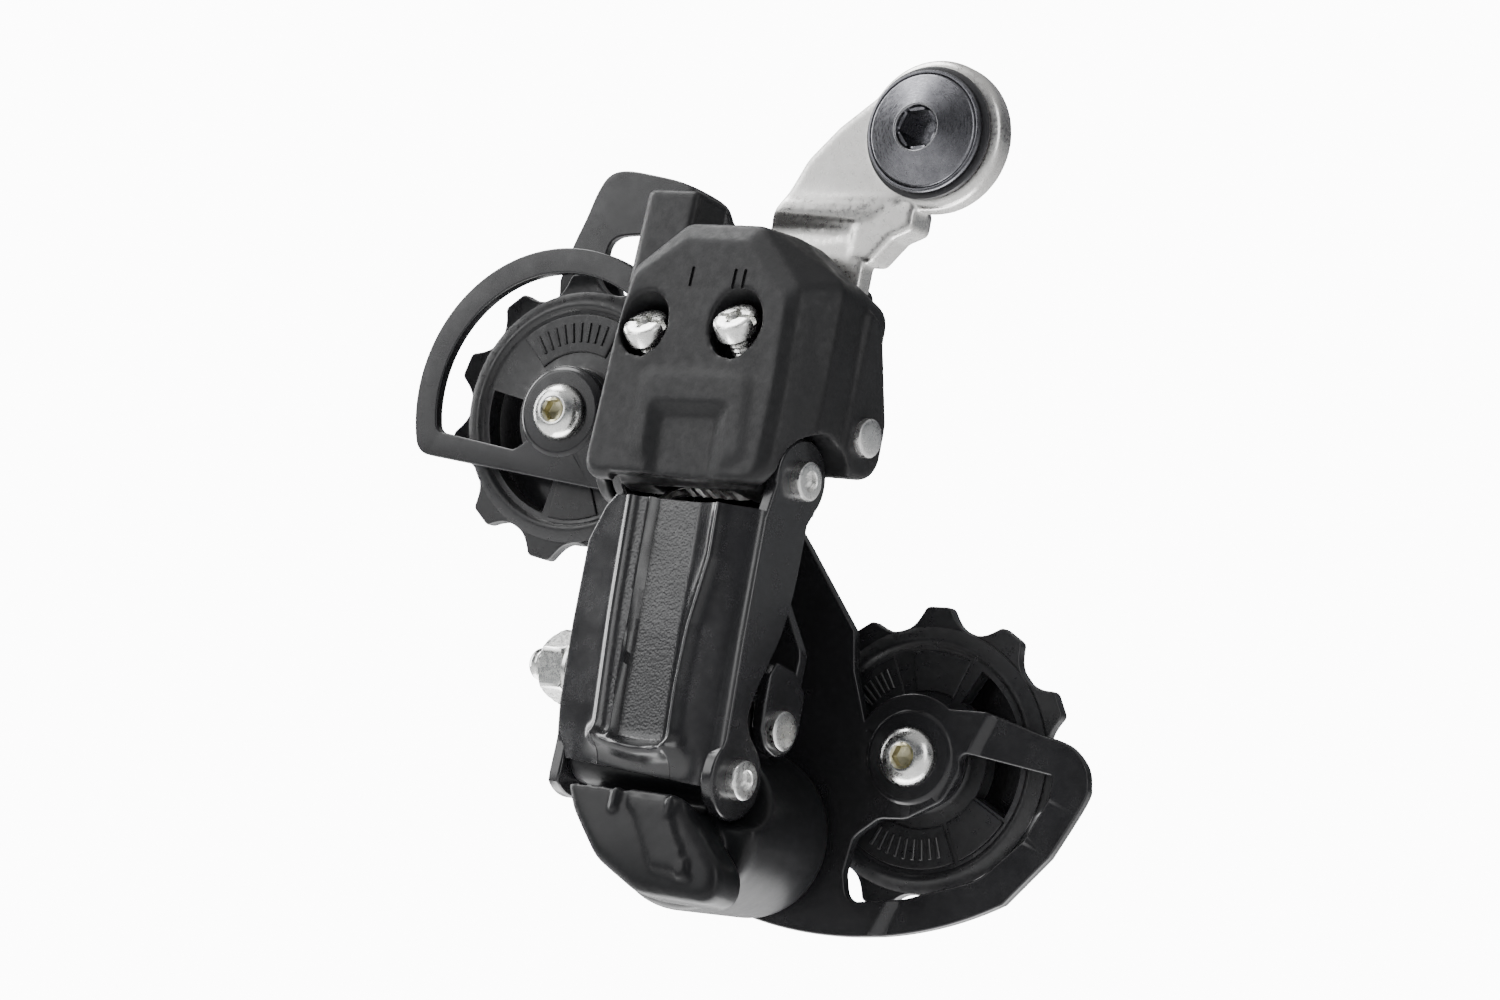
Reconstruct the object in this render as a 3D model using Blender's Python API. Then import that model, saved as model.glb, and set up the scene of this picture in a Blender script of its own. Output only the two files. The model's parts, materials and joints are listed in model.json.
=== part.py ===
"""Rear derailleur with a fixed hanger bracket, resin housing, pressed-steel parallelogram and short cage.

Metres, +Z up. The origin is the mounting-bolt axis on the face that meets the frame hanger.
+X points to the front of the bicycle and +Y points inward, to the wheel. Sizes below are in mm.
"""

import math

import bmesh
import bpy
from mathutils import Matrix, Vector

MM = 0.001

# Bracket and mounting bolt, lathed about the Y axis through the origin
BOSS_R = 11.6
BOSS_T = 4.5
BOLT_R = 5.0
BOLT_REACH = 8.5
BUSH_R = 10.2
HEAD_R = 9.4
SOCKET = 5.0

# Parallelogram: pivot frame with P along the pins, D down the links and M inward
PIVOT = Vector((-14.72, -15.2, -53.34))
P_DIR = Vector((0.97748, -0.12891, -0.16708)).normalized()
D_DIR = Vector((-0.18148, -0.10937, -0.97729))
M_DIR = P_DIR.cross(D_DIR).normalized()
D_DIR = M_DIR.cross(P_DIR).normalized()
LINK_L = 45.4
INNER_D = -9.2
INNER_M = 8.4
PIN_R = 2.0
PIN_FIT = 0.06
PRESS = 0.015
PIN_HEAD_R = 3.0
PLATE_T = 2.2
OUTER_RIGHT = -1.7
OUTER_LEFT = -33.2
INNER_RIGHT = -2.5
INNER_LEFT = -30.0
HOUSING_RIGHT = 1.4
HOUSING_LEFT = -36.5
ANCHOR_P = -33.7
ANCHOR_D = 31.6
ANCHOR_M = 3.0

# Cage and pulleys, all turning about axes along Y
CAGE_X = -34.5
CAGE_Z = -103.35
GUIDE_X = -9.1
GUIDE_Z = -92.6
TENSION_X = -70.2
TENSION_Z = -34.9
CAGE_Y = 5.7
CAGE_T = 2.0
CAGE_BACK_Y = 16.4
PULLEY_Y = 12.05
TEETH = 11
TIP_R = 23.4
ROOT_R = 20.3
WINDOWS = ((-35.3, 52.3), (151.7, 214.7))
BARREL_R = 12.8
BARREL_Y = 4.9
BARREL_FRONT = -19.8
AXLE_R = 4.0
STOP_X = -43.8
STOP_Z = -91.0


def basis(origin, u, v, w):
    """The matrix that takes coordinates (u, v, w) to the row frame, all in mm."""
    matrix = Matrix.Identity(4)
    for column, axis in enumerate((u, v, w)):
        for row in range(3):
            matrix[row][column] = axis[row]
    for row in range(3):
        matrix[row][3] = origin[row]
    return matrix


X, Y, Z = Vector((1, 0, 0)), Vector((0, 1, 0)), Vector((0, 0, 1))
WORLD = Matrix.Identity(4)
SIDE = basis((0, 0, 0), X, Z, Y)
ALONG_P = basis(PIVOT, D_DIR, M_DIR, P_DIR)
ALONG_M = basis(PIVOT, P_DIR, D_DIR, M_DIR)
ALONG_D = basis(PIVOT, P_DIR, M_DIR, D_DIR)
UPPER_OUTER = (0.0, 0.0)
UPPER_INNER = (INNER_D, INNER_M)
LOWER_OUTER = (LINK_L, 0.0)
LOWER_INNER = (LINK_L + INNER_D, INNER_M)


def link_point(p, d, m):
    return PIVOT + P_DIR * p + D_DIR * d + M_DIR * m


def arc(cx, cy, r, start, end, steps):
    """Points of an arc, angles in degrees."""
    points = []
    for i in range(steps + 1):
        a = math.radians(start + (end - start) * i / steps)
        points.append((cx + r * math.cos(a), cy + r * math.sin(a)))
    return points


def circle(cx, cy, r, steps=32):
    return arc(cx, cy, r, 0, 360, steps)[:-1]


def rounded(corners, steps=2):
    """A polygon from (x, y, radius) corners with the corners filleted."""
    points = []
    count = len(corners)
    for i, (x, y, r) in enumerate(corners):
        here = Vector((x, y))
        before = (Vector(corners[i - 1][:2]) - here).normalized()
        after = (Vector(corners[(i + 1) % count][:2]) - here).normalized()
        angle = before.angle(after)
        if r <= 0:
            points.append((x, y))
            continue
        if angle > math.radians(172):
            for k in range(steps + 1):
                way = before * (1 - 2 * k / steps) if 2 * k < steps else after * (2 * k / steps - 1)
                points.append(tuple(here + way * 0.5 * r))
            continue
        reach = r / math.tan(angle / 2)
        centre = here + (before + after).normalized() * (r / math.sin(angle / 2))
        first = here + before * reach - centre
        turn = first.angle_signed(here + after * reach - centre)
        for k in range(steps + 1):
            a = -turn * k / steps
            spoke = Matrix.Rotation(a, 2) @ first
            points.append((centre.x + spoke.x, centre.y + spoke.y))
    return points


def shrunk(points, by):
    """The polygon moved inward by this much, whichever way round it runs."""
    area = 0.0
    count = len(points)
    for i in range(count):
        area += points[i - 1][0] * points[i][1] - points[i][0] * points[i - 1][1]
    side = 1.0 if area > 0 else -1.0
    moved = []
    for i in range(count):
        here = Vector(points[i])
        back = (here - Vector(points[i - 1])).normalized()
        ahead = (Vector(points[(i + 1) % count]) - here).normalized()
        normal = Vector((-back.y - ahead.y, back.x + ahead.x))
        if normal.length < 1e-6:
            moved.append(points[i])
            continue
        normal.normalize()
        lean = max(0.5, normal.dot(Vector((-back.y, back.x))))
        moved.append((here.x + side * normal.x * by / lean, here.y + side * normal.y * by / lean))
    return moved


def mesh_object(bm, name="piece"):
    bmesh.ops.recalc_face_normals(bm, faces=bm.faces)
    mesh = bpy.data.meshes.new(name)
    bm.to_mesh(mesh)
    bm.free()
    obj = bpy.data.objects.new(name, mesh)
    bpy.context.scene.collection.objects.link(obj)
    return obj


def loft(rings, frame):
    """A closed solid through rings of equally many (u, v, w) points, capped at both ends."""
    bm = bmesh.new()
    rows = []
    for ring in rings:
        rows.append([bm.verts.new((frame @ Vector(point)) * MM) for point in ring])
    count = len(rings[0])
    for lower, upper in zip(rows, rows[1:]):
        for i in range(count):
            j = (i + 1) % count
            bm.faces.new((lower[i], lower[j], upper[j], upper[i]))
    bm.faces.new(rows[0])
    bm.faces.new(rows[-1])
    return mesh_object(bm)


def prism(points, low, high, frame, chamfer=0.0):
    if chamfer <= 0:
        return loft([[(*q, low) for q in points], [(*q, high) for q in points]], frame)
    small = shrunk(points, chamfer)
    rings = [[(*q, low) for q in small], [(*q, low + chamfer) for q in points]]
    rings += [[(*q, high - chamfer) for q in points], [(*q, high) for q in small]]
    return loft(rings, frame)


def lathe(profile, frame, u=0.0, v=0.0, steps=32):
    """A solid of revolution: (radius, w) points, turned about w at (u, v)."""
    rings = []
    for r, w in profile:
        rings.append([(*q, w) for q in circle(u, v, max(r, 0.001), steps)])
    return loft(rings, frame)


def rod(u, v, r, low, high, frame, chamfer=0.0, steps=24):
    if chamfer <= 0:
        return lathe([(r, low), (r, high)], frame, u, v, steps)
    profile = [(r - chamfer, low), (r, low + chamfer), (r, high - chamfer), (r - chamfer, high)]
    return lathe(profile, frame, u, v, steps)


def box(low, high, frame):
    (a, b, c), (d, e, f) = low, high
    return prism([(a, b), (d, b), (d, e), (a, e)], c, f, frame)


def sweep(path, radius, sides=8):
    """A round wire along points in the row frame, in mm."""
    bm = bmesh.new()
    rows = []
    normal = None
    for i, here in enumerate(path):
        tangent = (path[min(i + 1, len(path) - 1)] - path[max(i - 1, 0)]).normalized()
        if normal is None:
            normal = tangent.orthogonal().normalized()
        normal = (normal - tangent * normal.dot(tangent)).normalized()
        side = tangent.cross(normal)
        row = []
        for k in range(sides):
            a = 2 * math.pi * k / sides
            row.append(bm.verts.new((here + (normal * math.cos(a) + side * math.sin(a)) * radius) * MM))
        rows.append(row)
    for lower, upper in zip(rows, rows[1:]):
        for i in range(sides):
            j = (i + 1) % sides
            bm.faces.new((lower[i], lower[j], upper[j], upper[i]))
    bm.faces.new(rows[0])
    bm.faces.new(rows[-1])
    return mesh_object(bm)


def boolean(body, other, operation):
    modifier = body.modifiers.new("cut", "BOOLEAN")
    modifier.operation = operation
    modifier.solver = "EXACT"
    modifier.object = other
    graph = bpy.context.evaluated_depsgraph_get()
    made = bpy.data.meshes.new_from_object(body.evaluated_get(graph))
    body.modifiers.clear()
    body.data = made
    bpy.data.objects.remove(other)


def join(body, *others):
    for other in others:
        boolean(body, other, "UNION")
    return body


def cut(body, *others):
    for other in others:
        boolean(body, other, "DIFFERENCE")
    return body


def finish(obj, name, origin, colour, metallic, roughness):
    """Names the piece, moves its origin onto its joint axis, and gives it its own material."""
    obj.name = name
    obj.data.name = name
    obj.data.transform(Matrix.Translation(-Vector(origin) * MM))
    obj.location = Vector(origin) * MM
    material = bpy.data.materials.new(name)
    material.use_nodes = True
    shader = material.node_tree.nodes["Principled BSDF"]
    shader.inputs["Base Color"].default_value = (*colour, 1.0)
    shader.inputs["Metallic"].default_value = metallic
    shader.inputs["Roughness"].default_value = roughness
    obj.data.materials.clear()
    obj.data.materials.append(material)
    obj.data.shade_smooth()
    obj.data.set_sharp_from_angle(angle=math.radians(32))
    return obj


BLACK = (0.012, 0.012, 0.013)
RESIN = (0.022, 0.022, 0.024)
SILVER = (0.56, 0.56, 0.54)
ZINC = (0.62, 0.62, 0.60)
STEEL = (0.42, 0.42, 0.42)


def mounting_bolt():
    profile = [(BOLT_R - 0.7, BOLT_REACH), (BOLT_R, BOLT_REACH - 0.7), (BOLT_R, -5.9)]
    profile += [(HEAD_R - 0.3, -5.9), (HEAD_R, -6.2), (HEAD_R, -6.9), (HEAD_R - 0.5, -7.2)]
    profile += [(4.1, -9.5), (3.7, -9.6)]
    bolt = lathe(profile, SIDE, steps=32)
    cut(bolt, prism(circle(0, 0, (SOCKET + 0.1) / math.sqrt(3), 6), -12, -5.4, SIDE))
    finish(bolt, "mounting_bolt", (0, 0, 0), BLACK, 0.6, 0.38)


def bolt_bush():
    profile = [(7.0, -0.3), (7.0, -4.65), (BUSH_R, -4.65), (BUSH_R, -5.6), (BUSH_R - 0.2, -5.8)]
    bush = lathe(profile, SIDE, steps=32)
    cut(bush, rod(0, 0, BOLT_R + 0.05, -8, 2, SIDE, steps=32))
    finish(bush, "bolt_bush", (0, 0, 0), BLACK, 0.3, 0.5)


def tongue_outline():
    return rounded([(-5.5, 9.0, 3), (4.5, -8.0, 3), (-5.5, -9.8, 2), (-9.6, -15.4, 3), (-11.5, -19.0, 2),
                    (-14.0, -30.0, 1), (-28.5, -30.0, 1), (-29.0, -13.0, 6), (-21.0, -1.5, 8), (-15.5, 3.0, 8)])


def bracket_arm():
    """The boss round the bolt, the arm down to the housing, the tongue inside it and the stop tab."""
    boss = lathe([(BOSS_R - 0.3, 0.0), (BOSS_R, -0.3), (BOSS_R, -3.3), (BOSS_R - 0.35, -4.15),
                  (BOSS_R - 1.2, -4.5)], SIDE, steps=32)
    arm = prism(tongue_outline(), -4.4, -0.2, SIDE)
    tab = prism(rounded([(-9.5, -8.5, 1), (-2.6, -10.6, 1), (-3.4, -14.3, 1), (-6.6, -15.2, 1), (-10.5, -18.6, 1),
                         (-14.5, -18.0, 1), (-13.2, -12.0, 2)]), -4.4, 2.3, SIDE, 0.5)
    join(boss, arm, tab)
    cut(boss, rod(0, 0, 7.05, -8, 4, SIDE, steps=32))
    finish(boss, "bracket_arm", (0, 0, 0), SILVER, 1.0, 0.36)


def housing_shell():
    """The resin body between the front face and the back, as sections at growing depth."""
    face = [(-25.6, -33.8), (-14.2, -33.9), (-4.6, -25.2), (-3.6, -12.0), (-3.6, 2.4), (-35.2, 3.0), (-35.0, -18.0),
            (-34.0, -27.6)]
    rim = [(-26.6, -36.5), (-12.6, -36.7), (-3.0, -27.2), (-1.9, -12.0), (-1.7, 3.2), (-36.3, 4.2), (-36.0, -18.4),
           (-35.3, -29.0)]
    mid = [(-27.0, -37.0), (-9.6, -36.6), (0.9, -29.4), (1.3, -12.0), (1.3, 3.6), (-36.4, 4.3), (-36.2, -18.4),
           (-35.8, -29.6)]
    back = [(-27.0, -36.4), (-9.6, -34.8), (0.3, -28.6), (1.2, -12.0), (1.2, 3.6), (-36.4, 4.3), (-36.2, -18.4),
            (-35.4, -29.0)]
    rings = []
    for outline, m, r in ((face, -9.4, 1.4), (rim, -8.2, 2.2), (mid, -3.0, 3.0), (mid, 3.0, 3.0), (back, 10.1, 3.0)):
        rings.append([(*q, m) for q in rounded([(*q, r) for q in outline])])
    return loft(rings, ALONG_M)


def screw_frame(p, d, m):
    """The frame of a limit screw: w runs from the head into the housing."""
    w = (D_DIR * 0.63 + M_DIR * 0.777).normalized()
    u = P_DIR
    return basis(link_point(p, d, m), u, w.cross(u), w)


LOW_SCREW = screw_frame(-30.2, -20.4, -9.15)
HIGH_SCREW = screw_frame(-13.1, -21.25, -9.15)


def housing():
    shell = housing_shell()
    lobe_right = rod(*UPPER_INNER, 5.2, -8.2, HOUSING_RIGHT, ALONG_P, 0.5, 20)
    lobe_left = rod(*UPPER_INNER, 5.2, HOUSING_LEFT, -27.3, ALONG_P, 0.5, 20)
    ear_cover = rod(*UPPER_OUTER, 6.6, HOUSING_LEFT + 0.2, -30.0, ALONG_P, 0.5, 20)
    stop = prism(rounded([(-41.0, -3.5, 3), (-30.0, -3.5, 1), (-30.0, 5.0, 1), (-41.0, 5.0, 3)], 4), -43.2, -27.5,
                 ALONG_D, 0.8)
    back = prism(rounded([(-4.5, -33.0, 2), (-27.0, -33.5, 2), (-27.0, -2.2, 2), (-4.5, -2.2, 2)]), 2.0, 12.6,
                 ALONG_M, 0.8)
    join(shell, lobe_right, lobe_left, ear_cover, stop, back)
    ear_room = arc(0, 0, 7.0, 100, 270, 14) + [(20.6, -7.0), (20.6, 22.0), (-1.2, 22.0)]
    cut(shell, prism(ear_room, -4.3, 4.0, ALONG_P), prism(ear_room, -33.7, -30.7, ALONG_P))
    cut(shell, prism([(-2.4, 4.3), (-14.4, 4.3), (-14.4, 30), (20, 30), (20, 4.3)], -27.6, -7.9, ALONG_P))
    under = prism([(3.0, -12), (22, -12), (22, 22), (4.25, 22), (4.2, 3.9), (1.5, 4.0), (3.4, 2.0), (4.0, 0.0),
                   (4.6, -3.0), (4.2, -6.0), (3.0, -7.0)], -30.85, -4.2, ALONG_P)
    cut(shell, under)
    cut(shell, prism([(-5.0, -4.6), (22.5, -4.6), (22.5, 5.2), (-5.0, 5.2)], -24.2, -10.8, ALONG_P))
    cut(shell, rod(*UPPER_OUTER, PIN_R + PIN_FIT, -33, 3, ALONG_P, steps=16))
    cut(shell, rod(*UPPER_OUTER, 3.5, -40, -32.9, ALONG_P, steps=16))
    cut(shell, rod(*UPPER_INNER, PIN_R + PRESS, -40, 5, ALONG_P, steps=16))
    for frame in (LOW_SCREW, HIGH_SCREW):
        cut(shell, rod(0, 0, 4.4, -12, 5.9, frame, steps=20), rod(0, 0, 2.25, 0, 15.0, frame, steps=16))
    cut(shell, rod(-36.6, 0.9, 2.3, -50, -32.0, ALONG_D, steps=16), rod(-36.6, 0.9, 0.9, -50, -20, ALONG_D, steps=12))
    cut(shell, prism(shrunk(tongue_outline(), -0.03), -4.43, -0.17, SIDE))
    finish(shell, "housing", (0, 0, 0), RESIN, 0.0, 0.55)


def limit_screw(name, frame):
    profile = [(3.0, 0.0), (3.5, 0.5), (3.5, 3.2), (2.2, 3.2), (2.2, 13.6), (1.6, 14.2)]
    screw = lathe(profile, frame, steps=16)
    cut(screw, box((-5, -0.5, -2), (5, 0.5, 1.3), frame), box((-0.5, -2.2, -2), (0.5, 2.2, 1.1), frame))
    finish(screw, name, frame.translation, ZINC, 1.0, 0.3)


def pin(name, where, top, bottom, head_top, head_bottom, shank=PIN_R):
    """A riveted pivot pin along P: head faces at top and bottom, shoulders where the plates start."""
    u, v = where
    profile = [(PIN_HEAD_R - 0.7, head_bottom), (PIN_HEAD_R - 0.2, head_bottom + 0.4), (PIN_HEAD_R - 0.2, bottom)]
    profile += [(shank, bottom), (shank, top), (PIN_HEAD_R, top), (PIN_HEAD_R, head_top - 0.4)]
    profile += [(PIN_HEAD_R - 0.5, head_top), (1.3, head_top), (1.0, head_top - 0.7)]
    obj = lathe(profile, ALONG_P, u, v, 16)
    d, m = where
    finish(obj, name, link_point(0, d, m), ZINC, 1.0, 0.28)


def outer_link():
    """Channel section: ribbed front panel, two flanges with ears round both outer pins."""
    def section(d, front, taper, left, drop):
        f = -front
        right = OUTER_RIGHT - 0.15
        outline = [(left, f + 5.4), (left, f + drop), (left + 4.2 + taper, f + 0.2), (-8.8 - taper, f)]
        outline += [(-2.6, f + 1.6), (right, f + 2.6), (right, f + 5.4), (right - 1.7, f + 5.4)]
        outline += [(right - 1.7, f + 3.4), (-9.4 - taper, f + 1.9), (left + 4.8 + taper, f + 2.1)]
        outline += [(left + 1.7, f + drop + 1.1), (left + 1.7, f + 5.4)]
        return [(p, m, d) for p, m in outline]

    edge = OUTER_LEFT + 0.15
    body = loft([section(6.4, 9.3, 0.0, edge + 4.0, 0.8), section(13.5, 8.9, 0.2, edge, 1.6),
                 section(26.0, 8.2, 0.8, edge, 1.5), section(46.2, 6.5, 1.6, edge, 2.9)], ALONG_D)
    back_edge = [(38.5, 1.0), (36.0, -0.4), (31.0, 0.6), (23.0, 3.4), (15.5, 4.2), (6.0, 3.9)]
    right = arc(0, 0, 6.2, 55, 290, 14) + [(7.4, -6.7), (26.0, -5.7), (40.2, -4.6)]
    right += arc(LINK_L, 0, 6.2, -130, 140, 16) + back_edge
    left = arc(0, 0, 6.2, 55, 335, 16) + [(13.5, -6.9), (26.0, -6.0), (40.2, -4.6), (44.0, -4.3), (48.5, -4.3)]
    left += arc(LINK_L, 0, 6.2, -42, 140, 11) + back_edge
    join(body, prism(right, OUTER_RIGHT - PLATE_T, OUTER_RIGHT, ALONG_P))
    join(body, prism(left, OUTER_LEFT, OUTER_LEFT + PLATE_T, ALONG_P))
    cut(body, rod(*LOWER_OUTER, 4.3, OUTER_LEFT + PLATE_T, OUTER_RIGHT - PLATE_T, ALONG_P, steps=16))
    for where in (UPPER_OUTER, LOWER_OUTER):
        cut(body, rod(*where, PIN_R + PRESS, -40, 5, ALONG_P, steps=16))
    finish(body, "outer_link", link_point(0, 0, 0), BLACK, 0.3, 0.3)


def inner_link():
    """Narrow knuckle at the top, flared ears at the bottom and the tab that carries the cable anchor."""
    low_d, low_m = LOWER_INNER
    body = rod(*UPPER_INNER, 3.8, -27.0, -8.5, ALONG_P, 0.3, 20)
    plate = prism(rounded([(-26.8, INNER_D, 0), (-8.7, INNER_D, 0), (-8.7, 15, 3), (INNER_RIGHT - 0.2, 24, 3),
                           (INNER_RIGHT - 0.2, 31.0, 1), (-35.4, 31.0, 1), (-35.4, 26.0, 1), (-26.8, 18, 3)]),
                  10.3, 12.4, ALONG_M, 0.2)
    join(body, plate)
    cheek = [(INNER_D + 0.1, 5.0), (14, 5.6), (18, 10.6), (18, 11.9), (INNER_D + 0.1, 11.9)]
    join(body, prism(cheek, -26.6, -24.7, ALONG_P), prism(cheek, -10.8, -8.9, ALONG_P))
    ear = rounded([(26.6, 5.0, 1), (27.0, 10.0, 1), (29.4, 13.4, 1), (35.6, 13.9, 1), (39.0, 12.6, 1),
                   (40.3, 9.4, 1), (39.4, 6.2, 1), (37.0, 4.5, 1), (33.0, 3.9, 1), (29.0, 3.7, 1)], 1)
    join(body, prism(ear, INNER_LEFT, INNER_LEFT + PLATE_T, ALONG_P, 0.2))
    join(body, prism(ear, INNER_RIGHT - PLATE_T, INNER_RIGHT, ALONG_P, 0.2))
    tab = arc(ANCHOR_D, ANCHOR_M, 5.9, 90, 340, 12) + [(37.0, 4.0), (35.0, 11.2), (31.0, 12.2), (26.2, 12.2)]
    join(body, prism(tab, ANCHOR_P - 2.0, ANCHOR_P, ALONG_P, 0.2))
    cut(body, rod(*UPPER_INNER, PIN_R + PIN_FIT, -40, 5, ALONG_P, steps=16))
    cut(body, rod(low_d, low_m, PIN_R + PRESS, -33, 5, ALONG_P, steps=16))
    cut(body, rod(ANCHOR_D, ANCHOR_M, 2.5 + PRESS, -45, -30, ALONG_P, steps=20))
    finish(body, "inner_link", link_point(0, *UPPER_INNER), BLACK, 0.3, 0.35)


def anchor():
    """Cable clamp: a stud pressed in the tab, with a washer and a nut that pinch the cable."""
    u, v = ANCHOR_D, ANCHOR_M
    bolt = lathe([(2.5, ANCHOR_P - 0.1), (2.5, -45.0), (2.2, -45.7), (1.2, -46.2)], ALONG_P, u, v, 20)
    finish(bolt, "anchor_bolt", link_point(ANCHOR_P, u, v), ZINC, 1.0, 0.3)
    washer = rod(u, v, 5.6, ANCHOR_P - 3.1, ANCHOR_P - 2.1, ALONG_P, 0.2)
    cut(washer, rod(u, v, 2.56, -45, -30, ALONG_P, steps=20))
    finish(washer, "anchor_washer", link_point(ANCHOR_P, u, v), ZINC, 1.0, 0.32)
    nut = prism(arc(u, v, 5.77, 12, 372, 6)[:-1], ANCHOR_P - 8.0, ANCHOR_P - 3.2, ALONG_P, 0.4)
    cut(nut, rod(u, v, 2.56, -45, -30, ALONG_P, steps=20))
    finish(nut, "anchor_nut", link_point(ANCHOR_P, u, v), ZINC, 1.0, 0.3)


def p_knuckle():
    """Front block and pin lugs in the pivot frame, and the spring barrel along the cage axis."""
    low_d, low_m = LOWER_INNER
    outline = rounded([(-30.6, 45.4, 1), (-4.4, 45.4, 1), (-4.4, 52.8, 1), (1.2, 53.4, 1.5), (6.2, 60.3, 1.5),
                       (5.8, 64.9, 2), (-10.5, 64.9, 4), (-19.4, 60.6, 6), (-25.4, 52.8, 2), (-30.6, 49.6, 1.5)])
    body = prism(outline, -6.1, 0.6, ALONG_M, 0.8)
    lip_room = [(40, -10), (52.2, -10), (51.3, -6.2), (49.6, -3.6), (48.6, -2.6), (44.6, -2.6), (40, -2.6)]
    cut(body, prism(lip_room, -40, 10, ALONG_P))
    join(body, rod(*LOWER_OUTER, 3.8, -30.7, -4.2, ALONG_P, 0.3))
    barrel = rod(CAGE_X, CAGE_Z, BARREL_R, BARREL_FRONT, BARREL_Y, SIDE, 0.5, 32)
    cut(barrel, rod(*LOWER_OUTER, 6.8, -4.15, 8, ALONG_P, steps=20))
    lug = rod(low_d, low_m, 4.0, -27.5, -5.0, ALONG_P, 0.3)
    web = box((-27.3, low_d, 4.8), (-5.2, 50.0, 12.0), ALONG_M)
    join(body, barrel, lug, web)
    cut(body, rod(CAGE_X, CAGE_Z, 9.8, -8.6, 8, SIDE, steps=24))
    cut(body, rod(CAGE_X, CAGE_Z, AXLE_R + 0.05, -12.0, 8, SIDE, steps=32))
    cut(body, rod(*LOWER_OUTER, PIN_R + PIN_FIT, -40, 5, ALONG_P, steps=16))
    cut(body, rod(low_d, low_m, PIN_R + 0.25, -40, 5, ALONG_P, steps=16))
    finish(body, "p_knuckle", link_point(0, *LOWER_OUTER), BLACK, 0.0, 0.18)


def helix(centre, frame, r, low, high, turns, steps):
    """Points of a coil about w, and its legs are added by the caller."""
    points = []
    for i in range(int(turns * steps) + 1):
        a = 2 * math.pi * i / steps
        w = low + (high - low) * i / (turns * steps)
        points.append(frame @ Vector((centre[0] + r * math.cos(a), centre[1] + r * math.sin(a), w)))
    return points


def springs():
    coil = helix(UPPER_OUTER, ALONG_P, 3.3, -22.8, -12.2, 5.25, 10)
    lead = [link_point(-22.8, 7.0, -6.2), link_point(-22.8, 4.6, -3.2)]
    tail = [link_point(-12.2, -1.2, 3.3), link_point(-12.2, -4.2, 3.3)]
    obj = sweep(lead + coil + tail, 0.7, 5)
    finish(obj, "return_spring", link_point(0, 0, 0), STEEL, 1.0, 0.35)
    coil = helix((CAGE_X, CAGE_Z), SIDE, 7.1, -6.9, 3.0, 4, 14)
    obj = sweep(coil, 0.9, 5)
    finish(obj, "tension_spring", (CAGE_X, 0, CAGE_Z), STEEL, 1.0, 0.35)


def cage_axle():
    axle = lathe([(AXLE_R - 0.5, -11.8), (AXLE_R, -11.3), (AXLE_R, 4.2), (8.6, 4.2), (8.6, 5.6), (3.0, 5.6),
                  (3.0, 7.8), (4.2, 7.8), (4.0, 8.4)], SIDE, CAGE_X, CAGE_Z, 32)
    finish(axle, "cage_axle", (CAGE_X, 0, CAGE_Z), STEEL, 1.0, 0.35)


def guide_end():
    """The outline of the outer plate round the guide pulley, from the barrel to the strap."""
    lower = arc(-16.15, -60.2, 59.1, 247.5, 291.6, 11)
    tip = [(12.2, -109.9), (18.7, -100.9), (19.6, -98.0), (19.2, -95.2), (17.2, -92.5), (14.5, -91.0), (11.6, -90.0)]
    return lower + tip + [(3.4, -86.4)] + arc(GUIDE_X, GUIDE_Z, 9.6, 46, 142, 8)


def cage_outer_plate():
    loop = arc(-71.8, -34.1, 25.9, 10, 186, 16)
    outline = [(-56.0, -50.5), (-47.6, -97.0)] + arc(CAGE_X, CAGE_Z, 13.2, 160, 236, 6) + guide_end()
    outline += [(-18.3, -79.0), (-18.3, -73.0), (-26.2, -59.2), (-41.5, -34.0)]
    outline += loop
    outline += [(-96.9, -38.3), (-96.0, -39.5), (-94.5, -39.9), (-65.0, -47.4), (-60.5, -48.3)]
    plate = prism(outline, CAGE_Y, CAGE_Y + CAGE_T, SIDE)
    upper = arc(-71.8, -34.1, 21.8, 2, 177, 14)
    upper += [(-93.3, -35.4), (-92.4, -36.5), (-79.2, -40.1), (-77.9, -39.6)]
    upper += arc(TENSION_X, TENSION_Z, 7.6, 212, -28, 12) + [(-58.0, -38.2), (-50.8, -36.8)]
    cut(plate, prism(upper, 0, 12, SIDE))
    window = rounded([(13.9, -96.4, 0.5), (13.2, -99.8, 2), (9.2, -105.6, 5), (1.6, -111.3, 8), (-10.8, -113.8, 12),
                      (-20.0, -114.0, 2), (-20.4, -109.6, 3), (-18.6, -104.2, 3), (-14.3, -101.6, 3), (-9.9, -101.9, 4),
                      (-3.6, -99.4, 4), (-0.8, -95.4, 4), (-0.9, -92.2, 1.5)])
    cut(plate, prism(window, 0, 12, SIDE))
    join(plate, lathe([(7.6, 5.3), (7.9, 6.0), (7.9, 7.4)], SIDE, TENSION_X, TENSION_Z, 24))
    join(plate, lathe([(7.6, 5.3), (7.9, 6.0), (7.9, 7.4)], SIDE, GUIDE_X, GUIDE_Z, 24))
    for x, z in ((TENSION_X, TENSION_Z), (GUIDE_X, GUIDE_Z)):
        cut(plate, rod(x, z, 2.56, 0, 12, SIDE, steps=24))
    cut(plate, rod(CAGE_X, CAGE_Z, 3.02, 0, 12, SIDE, steps=32))
    cut(plate, rod(STOP_X, STOP_Z, 1.62, 0, 12, SIDE, steps=16))
    finish(plate, "cage_outer_plate", (CAGE_X, 0, CAGE_Z), BLACK, 0.3, 0.3)


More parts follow.
